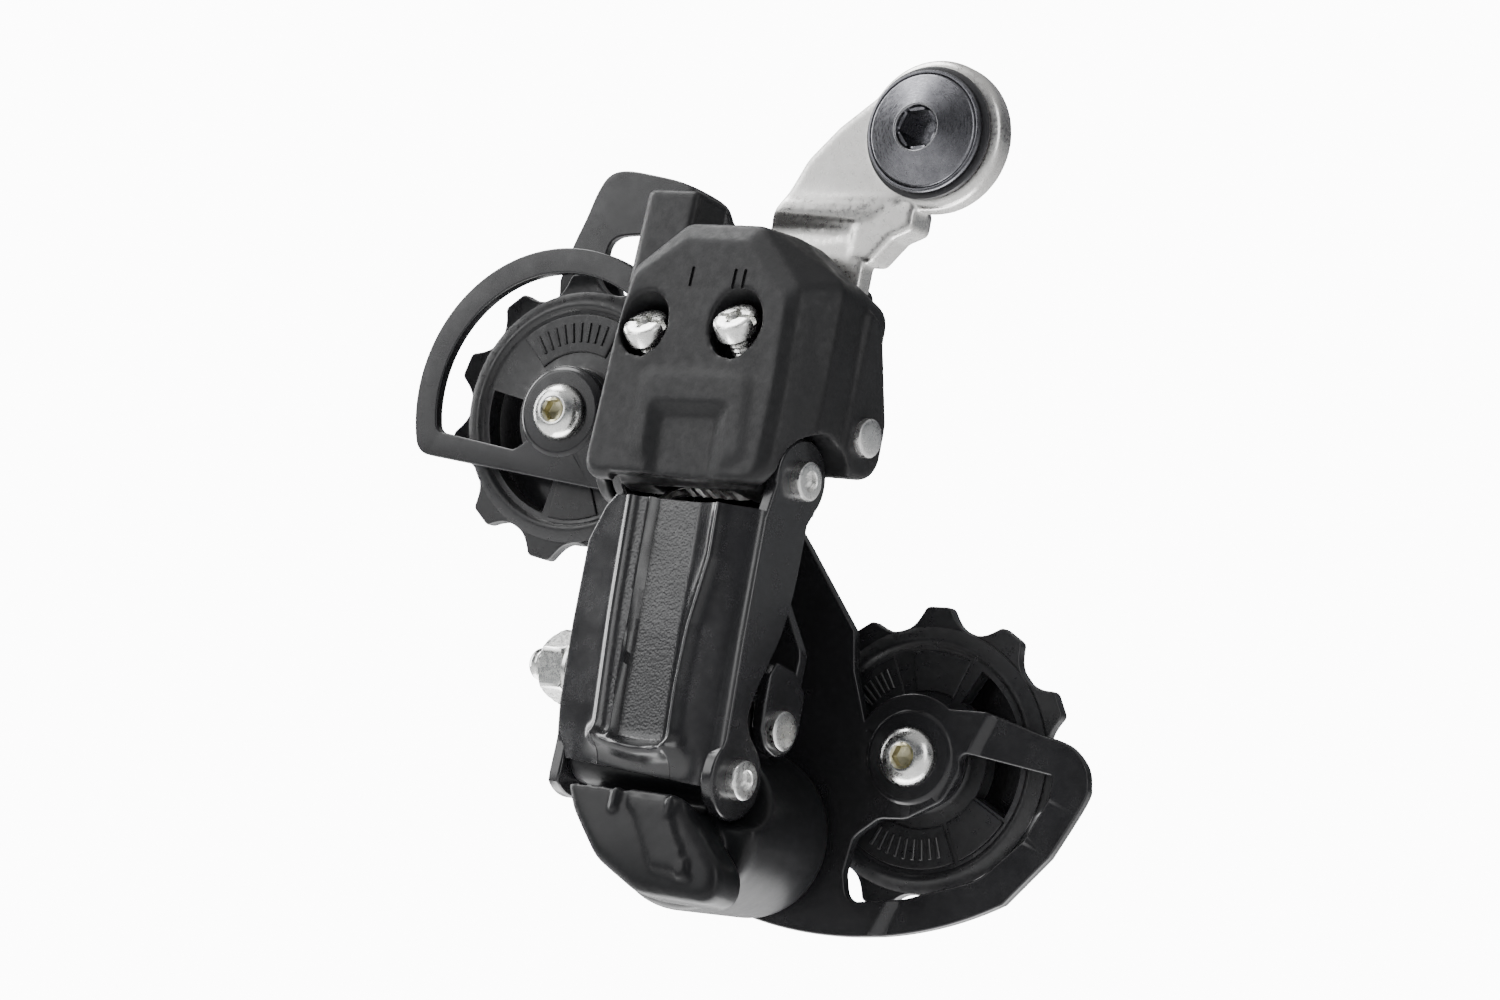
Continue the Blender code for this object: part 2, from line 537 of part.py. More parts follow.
def cage_inner_plate():
    """Slim plate behind the pulleys, with the chain guard that folds forward above the tension pulley."""
    outline = arc(GUIDE_X, GUIDE_Z, 17.0, -150, 60, 12)
    outline += [(-20.0, -76.5), (-27.5, -71.0), (-33.4, -60.4), (-48.6, -36.6)]
    outline += arc(TENSION_X, TENSION_Z, 18.0, 10, 100, 5) + arc(TENSION_X, TENSION_Z, 20.0, 140, 262, 10)
    outline += [(-62.0, -56.0), (-53.0, -70.0), (-44.5, -88.0), (-36.5, -97.0), (-28.0, -101.0)]
    plate = prism(outline, CAGE_BACK_Y, CAGE_BACK_Y + 1.6, SIDE)
    slot = rounded([(-30.5, -78.5, 2), (-38.5, -64.0, 5), (-50.0, -48.5, 2), (-53.5, -52.0, 2), (-55.0, -58.0, 3),
                    (-46.5, -74.0, 5), (-37.5, -88.5, 2), (-33.0, -86.0, 2)])
    cut(plate, prism(slot, 10, 24, SIDE))
    strap = prism(rounded([(-80.0, -27.0, 0), (-64.0, -24.0, 0), (-67.4, -8.2, 1), (-65.8, -5.2, 1), (-45.2, -6.2, 1),
                           (-44.8, -3.6, 2), (-48.0, -0.4, 4), (-56.0, 3.4, 8), (-64.2, 5.6, 3), (-67.9, 4.4, 3),
                           (-70.6, -0.4, 3), (-74.0, -6.6, 4)]), CAGE_BACK_Y + 0.05, CAGE_BACK_Y + 1.55, SIDE)
    join(plate, strap)
    for x, z in ((TENSION_X, TENSION_Z), (GUIDE_X, GUIDE_Z)):
        cut(plate, rod(x, z, 2.52, 10, 24, SIDE, steps=24))
    finish(plate, "cage_inner_plate", (CAGE_X, 0, CAGE_Z), BLACK, 0.3, 0.3)


def pulley(name, cx, cz, phase, turned):
    """Toothed wheel: raised rim and hub, thin web with windows."""
    step = 360.0 / TEETH
    outline = []
    for k in range(TEETH):
        a = phase + k * step
        for r, b in ((TIP_R, -4.9), (TIP_R, 4.9), (ROOT_R, 10.6), (ROOT_R, 22.1)):
            t = math.radians(a + b)
            outline.append((cx + r * math.cos(t), cz + r * math.sin(t)))
    profile = []
    for r, w in ((7.4, 3.6), (7.4, 1.2), (17.5, 1.2), (17.5, 3.2), (19.2, 3.2)):
        profile.append((r, PULLEY_Y - w))
    profile += [(r, 2 * PULLEY_Y - w) for r, w in reversed(profile)]
    body = lathe(profile, SIDE, cx, cz, 26)
    join(body, prism(outline, PULLEY_Y - 1.1, PULLEY_Y + 1.1, SIDE))
    for start, end in WINDOWS:
        start, end = start + turned, end + turned
        hole = arc(cx, cz, 16.3, start, end, 6) + arc(cx, cz, 10.5, end, start, 4)
        cut(body, prism(hole, 0, 30, SIDE))
    cut(body, rod(cx, cz, 3.56, 0, 30, SIDE, steps=24))
    finish(body, name, (cx, PULLEY_Y, cz), RESIN, 0.0, 0.42)


def pulley_bush(name, cx, cz):
    bush = rod(cx, cz, 3.5, CAGE_Y + CAGE_T + 0.1, CAGE_BACK_Y - 0.1, SIDE, 0.2, 24)
    cut(bush, rod(cx, cz, 2.56, 0, 30, SIDE, steps=24))
    finish(bush, name, (cx, PULLEY_Y, cz), STEEL, 1.0, 0.35)


def pulley_bolt(name, cx, cz):
    profile = [(2.5, 5.2), (4.5, 5.2), (4.5, 4.9), (4.2, 4.0), (3.4, 3.2), (2.3, 2.8)]
    profile = [(2.0, CAGE_BACK_Y + 1.6), (2.5, CAGE_BACK_Y + 1.1)] + profile
    bolt = lathe(profile, SIDE, cx, cz, 24)
    cut(bolt, prism(circle(cx, cz, 1.73, 6), 0, 4.9, SIDE))
    finish(bolt, name, (cx, PULLEY_Y, cz), ZINC, 1.0, 0.25)


def stop_pin():
    """Peg on the cage that meets the barrel's stop when the cage has swung right back."""
    peg = rod(STOP_X, STOP_Z, 1.6, -1.0, CAGE_Y + CAGE_T + 0.3, SIDE, 0.3, 16)
    finish(peg, "cage_stop_pin", (CAGE_X, 0, CAGE_Z), STEEL, 1.0, 0.35)


def build():
    for obj in list(bpy.data.objects):
        bpy.data.objects.remove(obj)
    mounting_bolt()
    bolt_bush()
    bracket_arm()
    housing()
    limit_screw("limit_screw_low", LOW_SCREW)
    limit_screw("limit_screw_high", HIGH_SCREW)
    pin("pin_upper_outer", UPPER_OUTER, OUTER_RIGHT, OUTER_LEFT, 0.0, -34.6)
    pin("pin_lower_outer", LOWER_OUTER, OUTER_RIGHT, OUTER_LEFT, 0.0, -34.6)
    pin("pin_upper_inner", UPPER_INNER, HOUSING_RIGHT, HOUSING_LEFT, 3.0, -37.6)
    pin("pin_lower_inner", LOWER_INNER, INNER_RIGHT, INNER_LEFT, -1.0, -31.4)
    outer_link()
    inner_link()
    anchor()
    p_knuckle()
    springs()
    cage_axle()
    cage_outer_plate()
    cage_inner_plate()
    stop_pin()
    pulley("guide_pulley", GUIDE_X, GUIDE_Z, 18.4, 0.0)
    pulley("tension_pulley", TENSION_X, TENSION_Z, 120.7, 195.0)
    for name, x, z in (("guide", GUIDE_X, GUIDE_Z), ("tension", TENSION_X, TENSION_Z)):
        pulley_bush(name + "_bush", x, z)
        pulley_bolt(name + "_bolt", x, z)


build()
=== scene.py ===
"""Looks for the rear derailleur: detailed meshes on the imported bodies, materials, lights and a camera.

The pieces are in millimetres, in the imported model's frame: +X to the front of the bicycle, +Y inward, +Z up.
The lamps and the camera are placed in metres, and the materials' noise scales are per metre.
"""

import json
import math

import bmesh
import bpy
from mathutils import Matrix, Vector

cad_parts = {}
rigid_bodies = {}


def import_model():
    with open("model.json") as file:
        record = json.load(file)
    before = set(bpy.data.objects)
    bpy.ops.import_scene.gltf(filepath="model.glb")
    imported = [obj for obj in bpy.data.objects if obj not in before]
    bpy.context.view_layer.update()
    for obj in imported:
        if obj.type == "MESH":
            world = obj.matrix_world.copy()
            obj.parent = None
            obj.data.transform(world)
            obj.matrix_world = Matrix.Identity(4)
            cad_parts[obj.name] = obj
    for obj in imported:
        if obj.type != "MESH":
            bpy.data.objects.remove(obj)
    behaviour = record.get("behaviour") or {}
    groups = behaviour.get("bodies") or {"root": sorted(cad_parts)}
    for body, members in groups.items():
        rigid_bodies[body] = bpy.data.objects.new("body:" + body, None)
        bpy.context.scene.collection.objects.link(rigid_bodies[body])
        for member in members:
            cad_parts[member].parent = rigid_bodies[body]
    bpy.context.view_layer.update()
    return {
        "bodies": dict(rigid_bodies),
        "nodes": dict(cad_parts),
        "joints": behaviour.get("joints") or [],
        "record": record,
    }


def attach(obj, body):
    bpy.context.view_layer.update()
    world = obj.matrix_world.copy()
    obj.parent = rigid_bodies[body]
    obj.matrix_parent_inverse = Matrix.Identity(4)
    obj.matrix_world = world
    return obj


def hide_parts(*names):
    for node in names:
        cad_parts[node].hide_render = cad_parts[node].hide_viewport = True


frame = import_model()

MM = 0.001
# PIVOT is on the upper outer pin's axis. P runs along the pins, D down the links, M from outer to inner link.
PIVOT = Vector((-14.72, -15.2, -53.34))
P_DIR = Vector((0.97748, -0.12891, -0.16708)).normalized()
D_DIR = Vector((-0.18148, -0.10937, -0.97729))
M_DIR = P_DIR.cross(D_DIR).normalized()
D_DIR = M_DIR.cross(P_DIR).normalized()
X, Y, Z = Vector((1, 0, 0)), Vector((0, 1, 0)), Vector((0, 0, 1))
LINK_L = 45.4
# The four pins as (d, m), and the cage's axle and both pulleys as (x, z)
UPPER_OUTER = (0.0, 0.0)
UPPER_INNER = (-9.2, 8.4)
LOWER_OUTER = (LINK_L, 0.0)
LOWER_INNER = (36.2, 8.4)
CAGE_X, CAGE_Z = -34.5, -103.35
GUIDE = (-9.1, -92.6)
TENSION = (-70.2, -34.9)
PULLEY_Y = 12.05
TEETH = 11
PIN_R = 2.0
PIN_BORE = 2.3
AXLE_BORE = 4.06
BUSH_BORE = 7.05
PULLEY_BORE = 3.58
BOLT_BORE = 2.56
NOISE_LOW, NOISE_HIGH = 0.35, 0.65
FLOOR_Z = -260.0
LIGHT_AROUND = 0.6
WHITE_AROUND = 12.0
CAMERA_PLACE = (0.2807, -0.5844, -0.1575)
CAMERA_AZIMUTH, CAMERA_ELEVATION = 28.24, -8.99
SENSOR = 36
FOCAL_TO_WIDTH = 4395 / 1500


def basis(origin, u, v, w):
    """The matrix that takes coordinates (u, v, w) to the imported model's frame, all in mm."""
    matrix = Matrix.Identity(4)
    for column, axis in enumerate((u, v, w)):
        for row in range(3):
            matrix[row][column] = axis[row]
    for row in range(3):
        matrix[row][3] = origin[row]
    return matrix


# SIDE looks along the axles, the others along the linkage's own directions
SIDE = basis((0, 0, 0), X, Z, Y)
ALONG_P = basis(PIVOT, D_DIR, M_DIR, P_DIR)
ALONG_M = basis(PIVOT, P_DIR, D_DIR, M_DIR)
ALONG_D = basis(PIVOT, P_DIR, M_DIR, D_DIR)


def link_point(p, d, m):
    return PIVOT + P_DIR * p + D_DIR * d + M_DIR * m


def screw_frame(p, d, m):
    w = (D_DIR * 0.63 + M_DIR * 0.777).normalized()
    return basis(link_point(p, d, m), P_DIR, w.cross(P_DIR), w)


LOW_SCREW = screw_frame(-30.2, -20.4, -9.15)
HIGH_SCREW = screw_frame(-13.1, -21.25, -9.15)


# Outlines


def arc(cx, cy, r, start, end, steps):
    points = []
    for i in range(steps + 1):
        a = math.radians(start + (end - start) * i / steps)
        points.append((cx + r * math.cos(a), cy + r * math.sin(a)))
    return points


def circle(cx, cy, r, steps):
    return arc(cx, cy, r, 0, 360, steps)[:-1]


def rounded(corners, steps=6):
    """A closed outline from (x, y, radius) corners with the corners filleted."""
    points = []
    count = len(corners)
    for i, (x, y, r) in enumerate(corners):
        here = Vector((x, y))
        before = Vector(corners[i - 1][:2]) - here
        after = Vector(corners[(i + 1) % count][:2]) - here
        angle = before.angle(after)
        reach = r / math.tan(angle / 2)
        limit = 0.48 * min(before.length, after.length)
        if r <= 0 or angle > math.radians(179.9):
            points.append((x, y))
            continue
        if reach > limit:
            r *= limit / reach
            reach = limit
        before.normalize()
        after.normalize()
        centre = here + (before + after).normalized() * (r / math.sin(angle / 2))
        first = here + before * reach - centre
        turn = first.angle_signed(here + after * reach - centre)
        for k in range(steps + 1):
            spoke = Matrix.Rotation(-turn * k / steps, 2) @ first
            points.append((centre.x + spoke.x, centre.y + spoke.y))
    return points


def shrunk(points, by):
    """The outline moved inward by this much, whichever way round it runs."""
    area = 0.0
    count = len(points)
    for i in range(count):
        area += points[i - 1][0] * points[i][1] - points[i][0] * points[i - 1][1]
    side = 1.0 if area > 0 else -1.0
    moved = []
    for i in range(count):
        here = Vector(points[i])
        back = (here - Vector(points[i - 1])).normalized()
        ahead = (Vector(points[(i + 1) % count]) - here).normalized()
        normal = Vector((-back.y - ahead.y, back.x + ahead.x))
        if normal.length < 1e-6:
            moved.append(points[i])
            continue
        normal.normalize()
        lean = max(0.6, normal.dot(Vector((-back.y, back.x))))
        moved.append((here.x + side * normal.x * by / lean, here.y + side * normal.y * by / lean))
    return moved


def spline(points, steps):
    """A smooth open line through the points."""
    out = []
    for i in range(len(points) - 1):
        a = Vector(points[max(i - 1, 0)])
        b = Vector(points[i])
        c = Vector(points[i + 1])
        d = Vector(points[min(i + 2, len(points) - 1)])
        for k in range(steps):
            t = k / steps
            q = 0.5 * ((2 * b) + (c - a) * t + (2 * a - 5 * b + 4 * c - d) * t * t
                       + (3 * b - a - 3 * c + d) * t ** 3)
            out.append(tuple(q))
    out.append(tuple(points[-1]))
    return out


def step(low, high, x):
    t = min(1.0, max(0.0, (x - low) / (high - low)))
    return t * t * (3 - 2 * t)


def bump(x, width):
    return math.exp(-(x / width) ** 2)


def along(table, x):
    """Straight-line reading of a small (x, value) table."""
    for (x0, y0), (x1, y1) in zip(table, table[1:]):
        if x <= x1:
            return y0 + (y1 - y0) * max(0.0, (x - x0)) / (x1 - x0)
    return table[-1][1]


# Meshes


def mesh_object(bm):
    bmesh.ops.recalc_face_normals(bm, faces=bm.faces)
    mesh = bpy.data.meshes.new("piece")
    bm.to_mesh(mesh)
    bm.free()
    obj = bpy.data.objects.new("piece", mesh)
    bpy.context.scene.collection.objects.link(obj)
    return obj


def add_rings(bm, rings, frame, closed=False):
    """Adds bands of quads between rings of equally many points and returns the rings' vertices."""
    rows = [[bm.verts.new((frame @ Vector(point)) * MM) for point in ring] for ring in rings]
    count = len(rings[0])
    pairs = list(zip(rows, rows[1:]))
    if closed:
        pairs.append((rows[-1], rows[0]))
    for lower, upper in pairs:
        for i in range(count):
            j = (i + 1) % count
            bm.faces.new((lower[i], lower[j], upper[j], upper[i]))
    return rows


def loft(rings, frame):
    bm = bmesh.new()
    rows = add_rings(bm, rings, frame)
    bm.faces.new(rows[0])
    bm.faces.new(rows[-1])
    return mesh_object(bm)


def prism(points, low, high, frame):
    return loft([[(*q, w) for q in points] for w in (low, high)], frame)


def sheet(rows, frame):
    """A bent sheet from rows of (front points, back points), closed along all four sides."""
    bm = bmesh.new()
    rings = add_rings(bm, [front + back[::-1] for front, back in rows], frame)
    for ring in (rings[0], rings[-1]):
        count = len(ring)
        for i in range(count // 2 - 1):
            bm.faces.new((ring[i], ring[i + 1], ring[count - 2 - i], ring[count - 1 - i]))
    return mesh_object(bm)


def edge_round(low, high, r, steps):
    """(inset, w) pairs that round both edges of a wall between low and high."""
    pairs = []
    for k in range(steps + 1):
        a = math.pi / 2 * k / steps
        pairs.append((r * (1 - math.sin(a)), low + r * (1 - math.cos(a))))
    return pairs + [(inset, high - (w - low)) for inset, w in reversed(pairs)]


def slab(points, low, high, frame, r, steps=3):
    """A plate with this outline and rounded edges."""
    rings = []
    for inset, w in edge_round(low, high, r, steps):
        rings.append([(*q, w) for q in shrunk(points, inset)])
    return loft(rings, frame)


def plate(outer, holes, low, high, frame, r, steps):
    """A plate with holes, every edge rounded. Both faces are filled between their outlines."""
    bm = bmesh.new()
    ends = ([], [])
    for index, outline in enumerate([outer] + holes):
        sign = 1 if index == 0 else -1
        rings = []
        for inset, w in edge_round(low, high, r, steps):
            rings.append([(*q, w) for q in shrunk(outline, sign * inset)])
        rows = add_rings(bm, rings, frame)
        ends[0].append(rows[0])
        ends[1].append(rows[-1])
    for loops in ends:
        edges = []
        for loop in loops:
            edges += [bm.edges.get((loop[i - 1], loop[i])) for i in range(len(loop))]
        bmesh.ops.triangle_fill(bm, edges=edges, use_beauty=True, use_dissolve=False)
    return mesh_object(bm)


def turned(profile, frame, u=0.0, v=0.0, steps=72, closed=False):
    """A solid of revolution from (radius, w); a radius may be a function of the angle."""
    rings = []
    for r, w in profile:
        ring = []
        for k in range(steps):
            a = 2 * math.pi * k / steps
            size = r(a) if callable(r) else max(r, 0.0005)
            ring.append((u + size * math.cos(a), v + size * math.sin(a), w))
        rings.append(ring)
    bm = bmesh.new()
    rows = add_rings(bm, rings, frame, closed)
    if not closed:
        bm.faces.new(rows[0])
        bm.faces.new(rows[-1])
    return mesh_object(bm)


def hexagon(flats, turn=0.0):
    """The radius of a hexagon this far across its flats, as a function of the angle."""
    def radius(a):
        b = (a - turn) % (math.pi / 3) - math.pi / 6
        return flats / 2 / math.cos(b)
    return radius


def rod(u, v, r, low, high, frame, round_by=0.0, steps=48):
    if round_by <= 0:
        return turned([(r, low), (r, high)], frame, u, v, steps)
    return turned([(r - inset, w) for inset, w in edge_round(low, high, round_by, 3)], frame, u, v, steps)


def boolean(body, other, operation):
    modifier = body.modifiers.new("cut", "BOOLEAN")
    modifier.operation = operation
    modifier.solver = "EXACT"
    modifier.object = other
    graph = bpy.context.evaluated_depsgraph_get()
    made = bpy.data.meshes.new_from_object(body.evaluated_get(graph))
    body.modifiers.clear()
    body.data = made
    bpy.data.objects.remove(other)


def join(body, *others):
    for other in others:
        boolean(body, other, "UNION")


def cut(body, *others):
    for other in others:
        boolean(body, other, "DIFFERENCE")


def heap(first, *others):
    """Puts the others' meshes into the first object as they are, for soften to fuse."""
    bm = bmesh.new()
    bm.from_mesh(first.data)
    for other in others:
        bm.from_mesh(other.data)
        bpy.data.objects.remove(other)
    bm.to_mesh(first.data)
    bm.free()


def soften(obj, voxel, passes):
    """Rebuilds the piece as one even skin and rounds its edges and inner corners, as on a casting."""
    remesh = obj.modifiers.new("skin", "REMESH")
    remesh.mode = "VOXEL"
    remesh.voxel_size = voxel * MM
    smooth = obj.modifiers.new("round", "SMOOTH")
    smooth.factor = 0.5
    smooth.iterations = passes
    graph = bpy.context.evaluated_depsgraph_get()
    made = bpy.data.meshes.new_from_object(obj.evaluated_get(graph))
    obj.modifiers.clear()
    obj.data = made


def bend(obj, planes, move):
    """Cuts edge lines where the planes (point, normal) cross the mesh, then moves each vertex by move."""
    bm = bmesh.new()
    bm.from_mesh(obj.data)
    for point, normal in planes:
        bmesh.ops.bisect_plane(bm, geom=bm.verts[:] + bm.edges[:] + bm.faces[:], plane_co=Vector(point) * MM,
                               plane_no=normal, dist=1e-7)
    for vertex in bm.verts:
        vertex.co += move(vertex.co / MM) * MM
    bm.to_mesh(obj.data)
    bm.free()


def place(obj, name, body, material, nodes, sharp=38):
    """Names the piece, sets its shading and finish, and puts it on its body in place of its CAD nodes."""
    obj.name = name
    obj.data.name = name
    if not obj.data.materials:
        obj.data.materials.append(material)
    obj.data.shade_smooth()
    obj.data.set_sharp_from_angle(angle=math.radians(sharp))
    weighted = obj.modifiers.new("normals", "WEIGHTED_NORMAL")
    weighted.keep_sharp = True
    weighted.weight = 80
    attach(obj, body)
    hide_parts(*nodes)


# Materials


class Finish:
    """A Principled material built up in object coordinates, with layers of colour, roughness and relief."""

    def __init__(self, name, colour, metallic, roughness, **sockets):
        self.material = bpy.data.materials.new(name)
        self.material.use_nodes = True
        self.tree = self.material.node_tree
        self.shader = self.tree.nodes["Principled BSDF"]
        self.shader.inputs["Base Color"].default_value = (*colour, 1)
        self.shader.inputs["Metallic"].default_value = metallic
        self.shader.inputs["Roughness"].default_value = roughness
        for key, value in sockets.items():
            self.shader.inputs[key.replace("_", " ")].default_value = value
        self.coords = self.tree.nodes.new("ShaderNodeTexCoord").outputs["Object"]
        self.normal = None

    def node(self, kind, **values):
        made = self.tree.nodes.new(kind)
        for key, value in values.items():
            setattr(made, key, value)
        return made

    def link(self, a, b):
        self.tree.links.new(a, b)

    def stretched(self, scale):
        mapping = self.node("ShaderNodeMapping")
        mapping.inputs["Scale"].default_value = scale
        self.link(self.coords, mapping.inputs["Vector"])
        return mapping.outputs["Vector"]

    def noise(self, scale, detail, rough, coords=None):
        made = self.node("ShaderNodeTexNoise")
        made.inputs["Scale"].default_value = scale
        made.inputs["Detail"].default_value = detail
        made.inputs["Roughness"].default_value = rough
        self.link(coords or self.coords, made.inputs["Vector"])
        return made.outputs["Fac"]

    def cells(self, scale):
        made = self.node("ShaderNodeTexVoronoi", feature="SMOOTH_F1")
        made.inputs["Scale"].default_value = scale
        made.inputs["Smoothness"].default_value = 0.6
        self.link(self.coords, made.inputs["Vector"])
        return made.outputs["Distance"]

    def tint(self, value, dark, light, low, high):
        """The colour goes from dark to light as value goes from low to high."""
        made = self.node("ShaderNodeValToRGB")
        elements = made.color_ramp.elements
        elements[0].position, elements[1].position = low, high
        elements[0].color, elements[1].color = (*dark, 1), (*light, 1)
        self.link(value, made.inputs["Fac"])
        self.link(made.outputs["Color"], self.shader.inputs["Base Color"])

    def gloss(self, value, low, high):
        """The roughness goes from low to high across the middle of a noise's range."""
        made = self.node("ShaderNodeMapRange")
        made.inputs["From Min"].default_value = NOISE_LOW
        made.inputs["From Max"].default_value = NOISE_HIGH
        made.inputs["To Min"].default_value = low
        made.inputs["To Max"].default_value = high
        self.link(value, made.inputs["Value"])
        self.link(made.outputs["Result"], self.shader.inputs["Roughness"])

    def relief(self, value, depth):
        """Surface relief that follows value, with its depth in mm."""
        made = self.node("ShaderNodeBump")
        made.inputs["Distance"].default_value = depth * MM
        made.inputs["Strength"].default_value = 1.0
        self.link(value, made.inputs["Height"])
        if self.normal:
            self.link(self.normal, made.inputs["Normal"])
        self.normal = made.outputs["Normal"]
        self.link(self.normal, self.shader.inputs["Normal"])


def grey(value, blue):
    return (value, value, value * blue)


def moulded(name, level, rough, grain, depth):
    """Glass-filled resin: fine grain, faint blotches and slightly uneven gloss."""
    finish = Finish(name, grey(level, 1.08), 0.0, rough, Specular_IOR_Level=0.5)
    blotch = finish.noise(90, 4, 0.6)
    finish.tint(blotch, grey(level * 0.82, 1.08), grey(level * 1.22, 1.1), 0.3, 0.7)
    finish.gloss(finish.noise(700, 4, 0.7), rough - 0.07, rough + 0.08)
    finish.relief(finish.noise(grain, 3, 0.6), depth)
    finish.relief(finish.cells(grain * 0.55), depth * 0.5)
    return finish


def painted(name, level, rough, orange=1000, depth=0.002):
    """Satin black paint on pressed steel, with orange peel and slightly uneven gloss."""
    finish = Finish(name, grey(level, 1.12), 0.0, rough, Specular_IOR_Level=0.45)
    finish.tint(finish.noise(120, 5, 0.6), grey(level * 0.85, 1.1), grey(level * 1.2, 1.12), 0.3, 0.7)
    finish.gloss(finish.noise(260, 6, 0.7), rough - 0.03, rough + 0.06)
    finish.relief(finish.noise(orange, 2, 0.5), depth)
    return finish


def metal(name, dark, light, rough, grain, depth, stretch=(1, 1, 1)):
    """Plated metal with mottling and fine marks in its gloss."""
    finish = Finish(name, light, 1.0, rough)
    finish.tint(finish.noise(420, 6, 0.7), dark, light, 0.25, 0.75)
    hair = finish.noise(grain, 6, 0.75, finish.stretched(stretch))
    finish.gloss(hair, rough - 0.08, rough + 0.14)
    finish.relief(finish.noise(grain / 2, 3, 0.5), depth)
    return finish


def make_finishes():
    made = {}
    resin = moulded("housing_resin", 0.0095, 0.47, 2600, 0.02)
    resin.shader.inputs["Specular IOR Level"].default_value = 0.3
    made["resin"] = resin.material
    made["pulley"] = moulded("pulley_resin", 0.012, 0.33, 1800, 0.004).material
    made["paint"] = painted("cage_paint", 0.010, 0.22).material
    link = painted("link_paint", 0.011, 0.23, 700, 0.001)
    link.shader.inputs["Specular IOR Level"].default_value = 0.6
    made["link"] = link.material
    pebble = painted("link_pebble", 0.012, 0.30, 1700, 0.03)
    pebble.relief(pebble.cells(2600), 0.04)
    pebble.shader.inputs["Specular IOR Level"].default_value = 0.6
    made["pebble"] = pebble.material
    gloss = painted("knuckle_gloss", 0.008, 0.36, 900, 0.001)
    gloss.shader.inputs["Specular IOR Level"].default_value = 0.2
    gloss.shader.inputs["Coat Weight"].default_value = 0.05
    gloss.shader.inputs["Coat Roughness"].default_value = 0.2
    made["gloss"] = gloss.material
    nickel = metal("bracket_nickel", (0.60, 0.59, 0.57), (0.72, 0.71, 0.69), 0.29, 1400, 0.0005)
    nickel.relief(nickel.noise(400, 2, 0.5), 0.004)
    made["nickel"] = nickel.material
    made["zinc"] = metal("zinc_plate", (0.55, 0.55, 0.54), (0.80, 0.80, 0.78), 0.22, 1600, 0.0005).material
    made["pin"] = metal("pin_zinc", (0.66, 0.66, 0.65), (0.80, 0.80, 0.79), 0.3, 1800, 0.0002).material
    made["socket"] = metal("socket_yellow", (0.40, 0.37, 0.22), (0.72, 0.69, 0.52), 0.34, 1600,
                           0.002).material
    made["steel"] = metal("spring_steel", (0.16, 0.16, 0.16), (0.42, 0.42, 0.41), 0.33, 900, 0.01,
                          (1, 1, 5)).material
    # A lighter grey of the bolt's dark metal, used as a painted highlight on the socket's lip.
    made["bright"] = metal("socket_rim_painted_highlight", (0.14, 0.14, 0.15), (0.3, 0.3, 0.31), 0.25, 1500, 0.0005).material
    bolt = metal("bolt_black", (0.10, 0.10, 0.11), (0.19, 0.19, 0.205), 0.27, 1200, 0.0008, (1, 9, 1))
    bolt.shader.inputs["Anisotropic"].default_value = 0.8
    tangent = bolt.node("ShaderNodeTangent", direction_type="RADIAL", axis="Y")
    bolt.link(tangent.outputs["Tangent"], bolt.shader.inputs["Tangent"])
    made["bolt"] = bolt.material
    made["bush"] = painted("bush_black", 0.02, 0.38).material
    return made


def paint(obj, materials, choose):
    """Gives each face the material that choose(centre in mm, normal) names by its place in the list."""
    obj.data.materials.clear()
    for one in materials:
        obj.data.materials.append(one)
    for face in obj.data.polygons:
        face.material_index = choose(face.center / MM, face.normal)


# Pieces


def thread(radius, low, high, pitch, depth):
    """Profile points of a shank with rings for its thread, from low to high."""
    points = []
    turns = int(abs(high - low) / pitch)
    for k in range(turns):
        w = low + (high - low) * k / turns
        half = (high - low) / turns / 2
        points += [(radius, w), (radius, w + half * 0.25), (radius - depth, w + half),
                   (radius - depth, w + half * 1.2)]
    return points + [(radius, high)]


def mounting_bolt(mats):
    profile = [(3.6, 8.5), (4.4, 7.9)] + thread(5.0, 7.7, 0.6, 1.0, 0.4) + [(5.0, 0.3), (5.0, -5.9),
                                                                            (9.05, -5.9)]
    profile += [(9.3, -5.98), (9.4, -6.2), (9.4, -6.8), (9.3, -7.0), (9.1, -7.08), (8.85, -7.05),
                (8.75, -6.9), (8.65, -7.15), (8.5, -7.34), (8.3, -7.46), (3.95, -9.46), (3.8, -9.56),
                (3.65, -9.6), (3.52, -9.55), (3.4, -9.4), (3.2, -8.95), (hexagon(5.45), -8.8),
                (hexagon(5.35), -8.6), (hexagon(5.35), -5.5)]
    bolt = turned(profile, SIDE, steps=96)
    # The lip round the hex socket takes the lighter metal: a painted highlight on the black bolt.
    paint(bolt, [mats["bolt"], mats["bright"]],
          lambda c, n: 1 if 3.3 < math.hypot(c.x, c.z) < 3.75 and c.y < -9.1 else 0)
    place(bolt, "mounting_bolt_detail", "hanger_bolt", mats["bolt"], ["mounting_bolt"])
    ring = turned([(5.06, -0.3), (7.0, -0.3), (7.0, -4.65), (9.85, -4.65), (10.1, -4.75), (10.2, -5.0),
                   (10.2, -5.35), (10.1, -5.65), (9.85, -5.78), (9.4, -5.82), (5.06, -5.82)], SIDE,
                  steps=96, closed=True)
    place(ring, "bolt_bush_detail", "hanger_bolt", mats["bush"], ["bolt_bush"])


